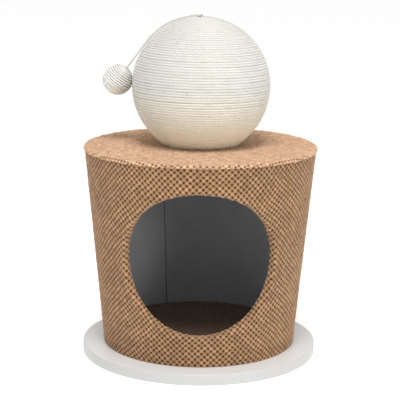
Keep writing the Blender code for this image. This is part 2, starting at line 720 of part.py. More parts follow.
def build_toy(materials, swivel):
    """Make the cord's hanging end and the small wound ball on it."""
    swing = add_pivot("toy_swing_axis", PIVOT, swivel)
    stations = []
    for turned in (15, 40, 65):             # round end about the pivot
        along = -CORD_RADIUS * math.cos(math.radians(turned))
        stations.append((PIVOT + along * FALL, math.sin(math.radians(turned))))
    end = PIVOT_TO_TOY - (TOY_STRAND.core_radius - TOY_BORE) - GAP
    count = round(end / (4 * CORD_RADIUS))
    stations += [(PIVOT + end * i / count * FALL, 1.0) for i in range(count + 1)]
    carry(swing, tube("toy_cord_free", stations, materials["cord"]))

    spin = add_pivot("toy_twist_axis", TOY_CENTRE, swing)
    lean = UP.rotation_difference(-FALL).to_matrix().to_4x4()
    place = Matrix.Translation(TOY_CENTRE) @ lean
    start = TOY_STRAND.first_angle()
    carry(spin, wind("toy_rope", TOY_STRAND, start, math.pi - start, TOY_STEPS, place, materials["sisal"]))

    core_radius = TOY_STRAND.core_radius
    mouth = math.degrees(math.asin(STEM_CLEARANCE / core_radius))
    core = [(0, core_radius - TOY_BORE), (STEM_CLEARANCE, core_radius - TOY_BORE)]
    core += arc(core_radius, mouth, 180, 8)
    core[-1] = (0, core[-1][1])
    core_mesh = turned_mesh("toy_core", core, TOY_STEPS)
    core_mesh.transform(place)
    carry(spin, add_part("toy_core", core_mesh, materials["core_shell"]))


def make_materials():
    """Make the part's materials, by name."""
    return {
        "white_board": new_material("white_board", (0.72, 0.71, 0.69), 0.45),
        "raw_board": new_material("raw_board", (0.42, 0.30, 0.18), 0.75),
        "bent_board": new_material("bent_board", (0.36, 0.27, 0.18), 0.8),
        "bobbled_plush": new_material("bobbled_plush", (0.36, 0.21, 0.11), 0.9),
        "brown_plush": new_material("brown_plush", (0.10, 0.055, 0.03), 0.95),
        "grey_felt": new_material("grey_felt", (0.12, 0.12, 0.12), 0.95),
        "core_shell": new_material("core_shell", (0.55, 0.55, 0.52), 0.5),
        "sisal": new_material("sisal", (0.72, 0.67, 0.56), 0.85),
        "cord": new_material("cord", (0.74, 0.70, 0.60), 0.85),
        "steel": new_material("steel", (0.56, 0.57, 0.58), 0.35, 1.0),
    }


def main():
    """Build the whole assembly."""
    clear_scene()
    new_collection(ASSEMBLY_NAME)
    new_collection(CUTTERS_NAME)
    materials = make_materials()
    base = build_base(materials)
    floor = build_cave(materials)
    build_base_screws(materials, base, floor)
    build_mat(materials)
    build_ball_shells(materials)
    build_ball_mounting(materials)
    build_ball_winding(materials)
    build_toy(materials, build_cord_over_ball(materials))


if __name__ == "__main__":
    main()
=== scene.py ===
"""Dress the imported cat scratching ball: plush, sisal rope, felt, boards, light and camera.

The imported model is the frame: in metres, +Z up, its doorway facing -Y and its toy on the -X side.
Each sub-assembly is a class that builds its pieces over the frame's nodes and dresses them.
"""
from __future__ import annotations

import json
import logging
import math
from collections.abc import Callable, Iterator, Sequence
from contextlib import contextmanager
from dataclasses import dataclass, field
from enum import Enum

import bpy
import numpy as np
from mathutils import Euler, Matrix, Vector
from mathutils.bvhtree import BVHTree


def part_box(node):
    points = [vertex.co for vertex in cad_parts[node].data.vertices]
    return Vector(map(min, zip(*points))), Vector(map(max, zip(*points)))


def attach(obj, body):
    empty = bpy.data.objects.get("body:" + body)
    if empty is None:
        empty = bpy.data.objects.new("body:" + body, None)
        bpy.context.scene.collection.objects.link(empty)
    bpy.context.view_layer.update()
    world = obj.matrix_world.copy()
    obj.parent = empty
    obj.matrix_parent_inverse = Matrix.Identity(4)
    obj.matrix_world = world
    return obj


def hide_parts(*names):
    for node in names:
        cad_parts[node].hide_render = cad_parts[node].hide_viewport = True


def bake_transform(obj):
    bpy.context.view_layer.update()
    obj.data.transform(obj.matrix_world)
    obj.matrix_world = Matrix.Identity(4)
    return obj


LOG = logging.getLogger("scratching_ball")
CLEARANCE = 0.0003          # between pieces that touch
MERGE = 0.00001             # vertices nearer than this are one
TIGHTEST_TURN = 0.0001      # radius that a cloth's inner face keeps in a fold
FACE_MARGIN = 0.7           # of a face's side, by which a cut may leave faces past its line
ROOT_TWO = math.sqrt(2.0)
FULL_TURN = 2 * math.pi

Colour = tuple[float, float, float]
Array = np.ndarray
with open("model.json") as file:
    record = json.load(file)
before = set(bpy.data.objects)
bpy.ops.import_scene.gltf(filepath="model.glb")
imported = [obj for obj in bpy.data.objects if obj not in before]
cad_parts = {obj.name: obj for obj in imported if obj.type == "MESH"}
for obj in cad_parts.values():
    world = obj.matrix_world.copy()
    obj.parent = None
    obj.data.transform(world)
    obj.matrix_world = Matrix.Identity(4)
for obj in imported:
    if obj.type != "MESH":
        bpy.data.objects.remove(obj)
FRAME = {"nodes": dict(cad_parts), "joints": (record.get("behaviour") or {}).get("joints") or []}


# ---------------------------------------------------------------- modelling


def deselect_all() -> None:
    """Deselect every object."""
    bpy.ops.object.select_all(action="DESELECT")


def make_active(obj: bpy.types.Object) -> None:
    """Select one object alone and make it active.

    Args:
        obj: The object to work on.
    """
    deselect_all()
    obj.select_set(True)
    bpy.context.view_layer.objects.active = obj


def added(name: str) -> bpy.types.Object:
    """Name the primitive that an operator has just added.

    Args:
        name: The piece's name, for the object and its mesh.

    Returns:
        The new object.
    """
    obj = bpy.context.active_object
    obj.name = name
    obj.data.name = name
    return obj


@contextmanager
def editing(obj: bpy.types.Object, mode: str = "VERT") -> Iterator[None]:
    """Hold an object in edit mode, with what its mesh has selected.

    Args:
        obj: The mesh object to edit.
        mode: The select mode: VERT, EDGE or FACE.

    Yields:
        Nothing; operators act on the object meanwhile.
    """
    make_active(obj)
    bpy.ops.object.mode_set(mode="EDIT")
    bpy.ops.mesh.select_mode(type=mode)
    try:
        yield
    finally:
        bpy.ops.object.mode_set(mode="OBJECT")


def select_only(obj: bpy.types.Object, faces: Array | None = None,
                vertices: Array | None = None) -> None:
    """Select some faces or vertices of a mesh in object mode, and nothing else.

    Args:
        obj: The mesh object.
        faces: One truth value for each face.
        vertices: One truth value for each vertex, used where faces is None.
    """
    mesh = obj.data
    picked = np.zeros(len(mesh.polygons), bool) if faces is None else faces
    mesh.polygons.foreach_set("select", picked)
    mesh.edges.foreach_set("select", np.zeros(len(mesh.edges), bool))
    chosen = vertices
    if faces is not None:
        chosen = np.zeros(len(mesh.vertices), bool)
        starts = loop_starts(mesh)
        owner = np.repeat(np.arange(len(mesh.polygons)), np.diff(starts))
        chosen[corner_vertices(mesh)[faces[owner]]] = True
    mesh.vertices.foreach_set("select", chosen)


def loop_starts(mesh: bpy.types.Mesh) -> Array:
    """Return where each face's corners start, with the number of corners at the end."""
    starts = np.zeros(len(mesh.polygons), np.int32)
    mesh.polygons.foreach_get("loop_start", starts)
    return np.append(starts, len(mesh.loops))


def corner_vertices(mesh: bpy.types.Mesh) -> Array:
    """Return the vertex of each face corner."""
    corners = np.zeros(len(mesh.loops), np.int32)
    mesh.loops.foreach_get("vertex_index", corners)
    return corners


def places(mesh: bpy.types.Mesh) -> Array:
    """Return a mesh's vertices as an array of points."""
    flat = np.zeros(len(mesh.vertices) * 3, np.float32)
    mesh.vertices.foreach_get("co", flat)
    return flat.reshape(-1, 3).astype(float)


def move_to(mesh: bpy.types.Mesh, points: Array) -> None:
    """Move a mesh's vertices to the given points."""
    mesh.vertices.foreach_set("co", np.asarray(points, np.float32).ravel())
    mesh.update()


def face_centres(mesh: bpy.types.Mesh) -> Array:
    """Return the middle of each face."""
    flat = np.zeros(len(mesh.polygons) * 3, np.float32)
    mesh.polygons.foreach_get("center", flat)
    return flat.reshape(-1, 3).astype(float)


def delete_faces(obj: bpy.types.Object, doomed: Array) -> None:
    """Delete the faces that a mask picks, with the vertices that only they use."""
    select_only(obj, faces=doomed)
    with editing(obj, "FACE"):
        bpy.ops.mesh.delete(type="FACE")


@contextmanager
def editing_all(obj: bpy.types.Object, mode: str = "VERT") -> Iterator[None]:
    """Hold an object in edit mode with all of its mesh selected.

    Args:
        obj: The mesh object to edit.
        mode: The select mode.

    Yields:
        Nothing; operators act on the whole mesh meanwhile.
    """
    with editing(obj, mode):
        bpy.ops.mesh.select_all(action="SELECT")
        yield


def trim(obj: bpy.types.Object, point: Sequence[float], outwards: Sequence[float]) -> None:
    """Cut a mesh along a plane and drop what lies outside it.

    Args:
        obj: The mesh object.
        point: A point of the plane.
        outwards: The plane's normal, towards what is dropped.
    """
    with editing_all(obj):
        bpy.ops.mesh.bisect(plane_co=point, plane_no=outwards, clear_outer=True)


def weld(obj: bpy.types.Object) -> None:
    """Merge a mesh's doubles and turn its faces outwards."""
    with editing_all(obj):
        bpy.ops.mesh.remove_doubles(threshold=MERGE)
        bpy.ops.mesh.normals_make_consistent(inside=False)


def settle() -> None:
    """Take the active object's place, turn and scale into its mesh."""
    bpy.ops.object.transform_apply(location=True, rotation=True, scale=True)


def mesh_from(name: str, curve: bpy.types.Curve) -> bpy.types.Object:
    """Link a curve as an object and convert it to a mesh.

    Args:
        name: The piece's name.
        curve: Its curve.

    Returns:
        The mesh object.
    """
    obj = bpy.data.objects.new(name, curve)
    bpy.context.scene.collection.objects.link(obj)
    make_active(obj)
    bpy.ops.object.convert(target="MESH")
    obj.data.name = name
    return obj


def finish_with(obj: bpy.types.Object, kind: str, **values: object) -> None:
    """Add a modifier with its values set, and apply it.

    Args:
        obj: The object to change.
        kind: The modifier's type.
        values: The modifier's settings.
    """
    modifier = obj.modifiers.new(kind.lower(), kind)
    for name, value in values.items():
        setattr(modifier, name, value)
    make_active(obj)
    bpy.ops.object.modifier_apply(modifier=modifier.name)


def draw_in(share: float, height: float = 0.0) -> None:
    """Scale what is selected in edit mode towards the upright axis, about a height."""
    bpy.ops.transform.resize(value=(share, share, 1.0), center_override=(0.0, 0.0, height))


def cut_away(obj: bpy.types.Object, tool: bpy.types.Object) -> None:
    """Cut a tool's shape out of a mesh, and remove the tool."""
    finish_with(obj, "BOOLEAN", operation="DIFFERENCE", solver="EXACT", object=tool)
    bpy.data.objects.remove(tool)


def shade_smooth(obj: bpy.types.Object, degrees: float = 180.0) -> None:
    """Shade a mesh smooth, except across edges sharper than an angle in degrees."""
    make_active(obj)
    if degrees >= 180.0:
        bpy.ops.object.shade_smooth()
    else:
        bpy.ops.object.shade_smooth_by_angle(angle=math.radians(degrees))


def scatter(*keys: Array, seed: int = 0) -> Array:
    """Return an even pseudo-random number from 0 to 1 for each set of whole-number keys.

    Args:
        keys: Arrays of whole numbers, all of one shape.
        seed: Picks another set of numbers.

    Returns:
        The numbers, the same in every run.
    """
    mixed = np.full(np.shape(keys[0]), float(seed) * 17.31)
    for key, weight in zip(keys, (127.1, 311.7, 74.7)):
        mixed = mixed + np.asarray(key, float) * weight
    return np.modf(np.abs(np.sin(mixed) * 43758.5453))[0]


def set_values(mesh: bpy.types.Mesh, name: str, values: Array) -> None:
    """Store a number, or a vector, at each vertex under a name that materials read."""
    values = np.asarray(values, np.float32)
    kind = "FLOAT" if values.ndim == 1 else "FLOAT_VECTOR"
    attribute = mesh.attributes.get(name) or mesh.attributes.new(name, kind, "POINT")
    attribute.data.foreach_set("value" if values.ndim == 1 else "vector", values.ravel())


def paint(obj: bpy.types.Object, finish: Finish) -> None:
    """Give an object a finish's material, in place of its own."""
    obj.data.materials.clear()
    obj.data.materials.append(finish.material())


def dress(obj: bpy.types.Object, finish: Finish) -> None:
    """Give a finished piece its material, and log its number of faces."""
    paint(obj, finish)
    LOG.info("%s: %d faces", obj.name, len(obj.data.polygons))


# ---------------------------------------------------------------- the bobbled cloth


@dataclass(frozen=True)
class Weave:
    """The plush's bobbles on the cloth laid flat: a square lattice that stands on its corner.

    Attributes:
        spacing: From bobble to bobble along a level row.
        height: Of a bobble above the hole beside it.
        quads: Faces along a bobble's side.
        round_to: Radius of a bobble at its foot, over its square's side.
        fullness: Power that makes a bobble flat on top and steep at its foot.
        crest: Share of the height that an even bobble reaches.
        unevenness: Share by which bobbles differ in height.
        lean: Share by which a bobble is higher on one side.
        seed: Picks the bobbles' differences.
    """

    spacing: float = 0.010
    height: float = 0.0040
    quads: int = 6
    round_to: float = 0.60
    fullness: int = 3
    crest: float = 0.92
    unevenness: float = 0.16
    lean: float = 0.18
    seed: int = 1

    @property
    def side(self) -> float:
        """Return the side of a bobble's square."""
        return self.spacing / ROOT_TWO

    def bobble(self, across: Array, up: Array) -> tuple[Array, Array]:
        """Return which bobble each point of the flat cloth belongs to, as two whole numbers."""
        rising = (across + up) / ROOT_TWO / self.side
        falling = (up - across) / ROOT_TWO / self.side
        return np.floor(rising + 0.5), np.floor(falling + 0.5)

    def middle(self, rising: Array, falling: Array) -> tuple[Array, Array]:
        """Return the middle of each bobble on the flat cloth."""
        return (rising - falling) * self.side / ROOT_TWO, (rising + falling) * self.side / ROOT_TWO

    def relief(self, across: Array, up: Array) -> tuple[Array, Array]:
        """Return the cloth's height, from 0 in a hole to 1, and each bobble's tone, from 0 to 1.

        Args:
            across: Places along a level row.
            up: Places up the cloth.

        Returns:
            The heights and the tones.
        """
        rising, falling = self.bobble(across, up)
        middle_across, middle_up = self.middle(rising, falling)
        x = ((across - middle_across) + (up - middle_up)) / ROOT_TWO / self.side
        y = ((up - middle_up) - (across - middle_across)) / ROOT_TWO / self.side
        dome = np.clip(1.0 - (np.hypot(x, y) / self.round_to) ** self.fullness, 0.0, 1.0) ** 0.5
        inside = np.clip(1.0 - 4 * x * x, 0.0, 1.0) * np.clip(1.0 - 4 * y * y, 0.0, 1.0)
        own = self.unevenness * (scatter(rising, falling, seed=self.seed) - 0.5)
        lean_x = self.lean * (scatter(rising, falling, seed=self.seed + 1) - 0.5)
        lean_y = self.lean * (scatter(rising, falling, seed=self.seed + 2) - 0.5)
        height = self.crest * dome + inside * (own + lean_x * x * 4 + lean_y * y * 4)
        return height, scatter(rising, falling, seed=self.seed + 3)

    def mark(self, cloth: bpy.types.Object, height: Array, tone: Array) -> None:
        """Store the bobbles' heights and tones on their cloth, for the plush's material."""
        set_values(cloth.data, "bobble_height", height)
        set_values(cloth.data, "bobble_tone", tone)

    def sheet(self, name: str, middle: tuple[float, float], reach: float,
              keep: Callable[[Array, Array], Array], quads: int | None = None) -> bpy.types.Object:
        """Add a flat grid whose faces follow the bobbles, and keep the bobbles that a test picks.

        Args:
            name: The piece's name.
            middle: Roughly the middle of the grid on the flat cloth.
            reach: Half the grid's side.
            keep: Takes bobble middles, across and up, and returns a truth value for each.
            quads: Faces along a bobble's side, where it isn't the weave's own.

        Returns:
            The flat cloth, a mesh in the plane of X, across, and Y, up.
        """
        fine = quads or self.quads
        cells = 2 * math.ceil(reach / self.side) + 1
        steps = self.bobble(np.array([middle[0]]), np.array([middle[1]]))
        centre = self.middle(*steps)
        bpy.ops.mesh.primitive_grid_add(
            x_subdivisions=cells * fine, y_subdivisions=cells * fine, size=cells * self.side,
            location=(centre[0][0], centre[1][0], 0.0), rotation=(0.0, 0.0, math.pi / 4))
        cloth = added(name)
        settle()
        centres = face_centres(cloth.data)
        bobbles = self.middle(*self.bobble(centres[:, 0], centres[:, 1]))
        delete_faces(cloth, ~keep(*bobbles))
        return cloth


@dataclass(frozen=True)
class Fold:
    """One stretch of a folded cloth's section: straight, or turned down round an edge.

    Attributes:
        length: The cloth's length in it.
        radius: Of the outer face where the cloth turns, or 0 where it runs straight.
        turn: How far it turns, in radians.
    """

    length: float
    radius: float = 0.0
    turn: float = 0.0

    @staticmethod
    def round(radius: float, degrees: float, depth: float) -> Fold:
        """Return a turn whose length is taken at a depth below the outer face."""
        turn = math.radians(degrees)
        return Fold(turn * (radius - depth), radius, turn)


def folded_length(folds: Sequence[Fold]) -> float:
    """Return the length of cloth in some folds."""
    return sum(fold.length for fold in folds)


def fold_over(folds: Sequence[Fold], beyond: Array, below: Array) -> tuple[Array, Array]:
    """Carry points of a cloth round the folds at its edge.

    Args:
        folds: The folds in order, from where the flat cloth ends.
        beyond: How far each point lies past the first fold's start; less than 0 is on the flat.
        below: How far each point lies below the outer face.

    Returns:
        Where the points come to, along the flat and above it.
    """
    along, lift = beyond.copy(), -below
    start, heading = 0.0, 0.0
    corner = np.array([0.0, 0.0])
    walked = np.minimum(beyond, folded_length(folds))
    for fold in folds:
        here = walked > start
        share = np.clip((walked[here] - start) / fold.length, 0.0, 1.0)
        normal = np.array([math.sin(heading), math.cos(heading)])
        if fold.turn:
            centre = corner - normal * fold.radius
            turned = heading + share * fold.turn
            rest = np.maximum(fold.radius - below[here], TIGHTEST_TURN)
            along[here] = centre[0] + rest * np.sin(turned)
            lift[here] = centre[1] + rest * np.cos(turned)
            heading += fold.turn
            corner = centre + fold.radius * np.array([math.sin(heading), math.cos(heading)])
        else:
            ahead = np.array([math.cos(heading), -math.sin(heading)])
            along[here] = corner[0] + share * fold.length * ahead[0] - below[here] * normal[0]
            lift[here] = corner[1] + share * fold.length * ahead[1] - below[here] * normal[1]
            corner = corner + fold.length * ahead
        start += fold.length
    return along, lift


@dataclass(frozen=True)
class Cone:
    """The cave's leaning wall, and the flat cloth that is bent round it.

    Attributes:
        foot_z: Height of its foot.
        height: From foot to top.
        foot_radius: Outside the plush at the foot.
        top_radius: Outside the plush at the top.
        middle_z: Height at the front where the flat cloth has its origin.
    """

    foot_z: float
    height: float = 0.340
    foot_radius: float = 0.164
    top_radius: float = 0.196
    middle_z: float = 0.189

    @property
    def lean(self) -> float:
        """Return the angle between the wall and the upright."""
        return math.atan2(self.top_radius - self.foot_radius, self.height)

    @property
    def tip_z(self) -> float:
        """Return the height of the cone's tip."""
        return self.foot_z - self.foot_radius / math.tan(self.lean)

    @property
    def tip_reach(self) -> float:
        """Return the distance on the flat cloth from its origin down to the cone's tip."""
        return (self.middle_z - self.tip_z) / math.cos(self.lean)

    def spread(self, degrees: float) -> float:
        """Return the flat cloth's angle for a turn round the wall in degrees."""
        return math.radians(degrees) * math.sin(self.lean)

    def from_tip(self, across: Array, up: Array) -> tuple[Array, Array]:
        """Return how far points of the flat cloth lie from its tip, and their angle there."""
        return np.hypot(across, self.tip_reach + up), np.arctan2(across, self.tip_reach + up)

    def height_at(self, across: Array, up: Array) -> Array:
        """Return the heights that points of the flat cloth come to on the wall."""
        return self.tip_z + self.from_tip(across, up)[0] * math.cos(self.lean)

    def bend(self, across: Array, up: Array, depth: Array) -> Array:
        """Bend points of the flat cloth to the wall.

        Args:
            across: Places across the flat cloth.
            up: Places up the flat cloth.
            depth: How far each lies below the plush's outer face.

        Returns:
            The points in space.
        """
        reach, angle = self.from_tip(across, up)
        turned = angle / math.sin(self.lean)
        radius = reach * math.sin(self.lean) - depth * math.cos(self.lean)
        height = self.tip_z + reach * math.cos(self.lean) + depth * math.sin(self.lean)
        return np.stack([radius * np.sin(turned), -radius * np.cos(turned), height], axis=1)

    def flat_size(self, low: float, high: float, degrees: float) -> tuple[float, float, float]:
        """Return the width, length and area of the flat cloth between two heights.

        Args:
            low: The lower height.
            high: The upper height.
            degrees: How far the cloth goes round.

        Returns:
            The width and length of its rectangle, and its area.
        """
        near = (low - self.tip_z) / math.cos(self.lean)
        far = (high - self.tip_z) / math.cos(self.lean)
        angle = self.spread(degrees)
        width = 2 * far * math.sin(angle / 2)
        length = far - near * math.cos(angle / 2)
        return width, length, (far ** 2 - near ** 2) * angle / 2


# ---------------------------------------------------------------- shader effects


class Tree:
    """A node tree that is laid out left to right as it is built."""

    def __init__(self, tree: bpy.types.NodeTree) -> None:
        """Start on a tree.

        Args:
            tree: The material's or group's node tree.
        """
        self.tree = tree
        self.count = 0

    def add(self, kind: str, inputs: dict[str | int, object] | None = None,
            **settings: object) -> bpy.types.Node:
        """Add a node.

        Args:
            kind: The node's type.
            inputs: Values or output sockets for its inputs, by name or number.
            settings: The node's own settings.

        Returns:
            The node.
        """
        node = self.tree.nodes.new(kind)
        for name, value in settings.items():
            setattr(node, name, value)
        node.location = (220.0 * (self.count % 8), -260.0 * (self.count // 8))
        self.count += 1
        for key, value in (inputs or {}).items():
            if isinstance(value, bpy.types.NodeSocket):
                self.tree.links.new(value, node.inputs[key])
            else:
                node.inputs[key].default_value = value
        return node

    def math(self, operation: str, first: object, second: object = 0.0) -> bpy.types.NodeSocket:
        """Add a Math node and return its value."""
        node = self.add("ShaderNodeMath", {0: first, 1: second}, operation=operation)
        return node.outputs[0]

    def roughened(self, value: object, fibre: object, amount: float) -> bpy.types.NodeSocket:
        """Return a value raised and lowered by fibres about their middle height."""
        centred = self.math("SUBTRACT", fibre, 0.5)
        return self.math("ADD", value, self.math("MULTIPLY", centred, amount))

    def scaled(self, colour: object, gain: object) -> bpy.types.NodeSocket:
        """Return a colour made lighter or darker by a gain."""
        return self.add("ShaderNodeVectorMath", {0: colour, "Scale": gain},
                        operation="SCALE").outputs[0]

    def mix(self, share: object, first: object, second: object,
            blend: str = "MIX") -> bpy.types.NodeSocket:
        """Mix two colours and return the result.

        Args:
            share: How much of the second is taken, a value or a socket.
            first: The first colour, three or four numbers or a socket.
            second: The second colour.
            blend: The way of mixing.

        Returns:
            The mixed colour.
        """
        node = self.add("ShaderNodeMix", data_type="RGBA", blend_type=blend)
        for name, value in (("Factor_Float", share), ("A_Color", first), ("B_Color", second)):
            target = next(s for s in node.inputs if s.identifier == name)
            if isinstance(value, bpy.types.NodeSocket):
                self.tree.links.new(value, target)
            elif name == "Factor_Float":
                target.default_value = value
            else:
                target.default_value = (*value[:3], 1.0)
        return next(s for s in node.outputs if s.identifier == "Result_Color")

    def ranged(self, value: bpy.types.NodeSocket, low: float, high: float,
               new_low: float = 0.0, new_high: float = 1.0) -> bpy.types.NodeSocket:
        """Stretch a value from one range to another and return it."""
        node = self.add("ShaderNodeMapRange", {"Value": value, "From Min": low, "From Max": high,
                                               "To Min": new_low, "To Max": new_high})
        return node.outputs["Result"]


def new_group(name: str, inputs: dict[str, str], outputs: dict[str, str]) -> Tree:
    """Make a shader node group with named sockets.

    Args:
        name: The group's name.
        inputs: Each input's name and socket type.
        outputs: Each output's name and socket type.

    Returns:
        Its tree.
    """
    group = bpy.data.node_groups.new(name, "ShaderNodeTree")
    for label, kind in inputs.items():
        group.interface.new_socket(name=label, in_out="INPUT", socket_type=kind)
    for label, kind in outputs.items():
        group.interface.new_socket(name=label, in_out="OUTPUT", socket_type=kind)
    return Tree(group)


def fibre_group() -> bpy.types.NodeTree:
    """Return the group that gives fibres: fine noise, stretched along its vector's first axis."""
    name = "fibres"
    if name in bpy.data.node_groups:
        return bpy.data.node_groups[name]
    tree = new_group(name, {"Vector": "NodeSocketVector", "Fineness": "NodeSocketFloat",
                            "Stretch": "NodeSocketFloat"}, {"Height": "NodeSocketFloat"})
    given = tree.add("NodeGroupInput")
    scale = tree.add("ShaderNodeCombineXYZ", {"X": given.outputs["Stretch"], "Y": 1.0, "Z": 1.0})
    drawn = tree.add("ShaderNodeVectorMath", {0: given.outputs["Vector"], 1: scale.outputs[0]},
                     operation="MULTIPLY")
    coarse = tree.add("ShaderNodeTexNoise", {"Vector": drawn.outputs[0], "Detail": 3.0,
                                             "Scale": given.outputs["Fineness"], "Roughness": 0.65})
    finer = tree.math("MULTIPLY", given.outputs["Fineness"], 2.7)
    fine = tree.add("ShaderNodeTexNoise", {"Vector": drawn.outputs[0], "Scale": finer,
                                           "Detail": 2.0, "Roughness": 0.6})
    sum_of = tree.math("ADD", coarse.outputs[0], tree.math("MULTIPLY", fine.outputs[0], 0.6))
    tree.add("NodeGroupOutput", {"Height": tree.math("MULTIPLY", sum_of, 0.62)})
    return tree.tree


def drift_group() -> bpy.types.NodeTree:
    """Return the group that lets a colour drift between lighter and darker in soft patches."""
    name = "tone_drift"
    if name in bpy.data.node_groups:
        return bpy.data.node_groups[name]
    tree = new_group(name, {"Colour": "NodeSocketColor", "Vector": "NodeSocketVector",
                            "Scale": "NodeSocketFloat", "Amount": "NodeSocketFloat"},
                     {"Colour": "NodeSocketColor"})
    given = tree.add("NodeGroupInput")
    patches = tree.add("ShaderNodeTexNoise", {"Vector": given.outputs["Vector"],
                                              "Scale": given.outputs["Scale"], "Detail": 4.0})
    centred = tree.math("SUBTRACT", patches.outputs[0], 0.5)
    gain = tree.math("ADD", tree.math("MULTIPLY", centred, given.outputs["Amount"]), 1.0)
    tree.add("NodeGroupOutput", {"Colour": tree.scaled(given.outputs["Colour"], gain)})
    return tree.tree


def shaded(colour: Colour, gain: float) -> list[float]:
    """Return a colour made darker or lighter by a gain, with no channel above 1."""
    return [min(1.0, gain * channel) for channel in colour]


class Material:
    """A new material with a Principled shader, to which effects are wired."""

    def __init__(self, name: str, roughness: float, **sockets: float) -> None:
        """Make the material.

        Args:
            name: The material's name.
            roughness: The shader's roughness.
            sockets: Other constants of the shader, with _ for a blank in the name.
        """
        self.material = bpy.data.materials.new(name)
        self.material.use_nodes = True
        self.nodes = Tree(self.material.node_tree)
        self.shader = self.material.node_tree.nodes["Principled BSDF"]
        self.shader.location = (2000.0, 0.0)
        self.shader.inputs["Roughness"].default_value = roughness
        for label, value in sockets.items():
            self.shader.inputs[label.replace("_", " ")].default_value = value

    def group(self, tree: bpy.types.NodeTree, inputs: dict[str, object]) -> bpy.types.Node:
        """Place a group of effects with its own values."""
        node = self.nodes.add("ShaderNodeGroup")
        node.node_tree = tree
        for key, value in inputs.items():
            if isinstance(value, bpy.types.NodeSocket):
                self.nodes.tree.links.new(value, node.inputs[key])
            elif isinstance(value, tuple):
                node.inputs[key].default_value = (*value, 1.0)
            else:
                node.inputs[key].default_value = value
        return node

    def surface_place(self) -> bpy.types.NodeSocket:
        """Return the Object coordinates."""
        return self.nodes.add("ShaderNodeTexCoord").outputs["Object"]

    def stored(self, name: str, kind: str = "Fac") -> bpy.types.NodeSocket:
        """Return what a mesh holds under a name, as a number or a vector."""
        return self.nodes.add("ShaderNodeAttribute", attribute_name=name).outputs[kind]

    def fibres(self, vector: bpy.types.NodeSocket, fineness: float,
               stretch: float = 1.0) -> bpy.types.NodeSocket:
        """Return the height of fibres along a vector's first axis."""
        return self.group(fibre_group(), {"Vector": vector, "Fineness": fineness,
                                          "Stretch": stretch}).outputs["Height"]

    def noise(self, vector: bpy.types.NodeSocket, scale: float,
              detail: float) -> bpy.types.NodeSocket:
        """Return soft noise of a scale and a number of octaves."""
        return self.nodes.add("ShaderNodeTexNoise", {"Vector": vector, "Scale": scale,
                                                     "Detail": detail}).outputs[0]

    def drift(self, colour: object, vector: bpy.types.NodeSocket, scale: float,
              amount: float) -> bpy.types.NodeSocket:
        """Return a colour that drifts in patches."""
        return self.group(drift_group(), {"Colour": colour, "Vector": vector, "Scale": scale,
                                          "Amount": amount}).outputs["Colour"]

    def bump(self, height: bpy.types.NodeSocket, depth: float) -> bpy.types.NodeSocket:
        """Return a normal bumped by a height, of a depth in metres."""
        return self.nodes.add("ShaderNodeBump", {"Height": height, "Strength": 1.0,
                                                 "Distance": depth}).outputs[0]

    def wire(self, **sockets: bpy.types.NodeSocket) -> bpy.types.Material:
        """Wire sockets to the shader's inputs, with _ for a blank, and return the material."""
        for label, socket in sockets.items():
            self.nodes.tree.links.new(socket, self.shader.inputs[label.replace("_", " ")])
        return self.material


# ---------------------------------------------------------------- finishes


@dataclass(frozen=True)
class PlushFinish:
    """Bobbled plush: bright bobble tops, painted shade on flanks and in holes, short soft fibres.
    """

    name: str
    top: Colour
    # painted shade: the flank's and the hole's colours are darker than the top, standing in for
    # shade
    shaded_flank: Colour
    hole: Colour
    # soft patches of tone: partly tone that differs at random, partly painted shade of slight waves
    patches: float = 0.38

    def build(self) -> bpy.types.Material:
        """Return the material, which reads the height and tone stored on the cloth."""
        made = Material(self.name, 0.92, Sheen_Weight=0.25, Sheen_Roughness=0.45,
                        Specular_IOR_Level=0.15)
        place = made.surface_place()
        height = made.stored("bobble_height")
        tone = made.stored("bobble_tone")
        fuzz = made.fibres(place, fineness=620.0)
        ragged = made.nodes.roughened(height, fuzz, amount=0.35)
        # Painted shade: the stored height darkens the colour from the bobbles' tops down to the
        # holes.
        shaded_flank = made.nodes.mix(made.nodes.ranged(ragged, 0.04, 0.42), self.hole, self.shaded_flank)
        whole = made.nodes.mix(made.nodes.ranged(ragged, 0.48, 0.82), shaded_flank, self.top)
        own = made.nodes.ranged(tone, 0.0, 1.0, 0.80, 1.14)
        gain = made.nodes.math("MULTIPLY", own, made.nodes.ranged(fuzz, 0.3, 0.7, 0.78, 1.20))
        toned = made.nodes.scaled(whole, gain)
        # Partly painted shade: soft lighter and darker patches, as the cloth's slight waves would
        # be shaded.
        colour = made.drift(toned, place, scale=11.0, amount=self.patches)
        return made.wire(Base_Color=colour, Normal=made.bump(fuzz, depth=0.0014))


@dataclass(frozen=True)
class GroundClothFinish:
    """The knitted ground of the plush, seen at its edges only."""

    name: str
    colour: Colour

    def build(self) -> bpy.types.Material:
        """Return the material."""
        made = Material(self.name, 0.95, Specular_IOR_Level=0.1)
        place = made.surface_place()
        knit = made.fibres(place, fineness=1400.0, stretch=0.4)
        share = made.nodes.ranged(knit, 0.3, 0.7)
        colour = made.nodes.mix(share, shaded(self.colour, 0.6), self.colour)
        return made.wire(Base_Color=colour, Normal=made.bump(knit, depth=0.0004))


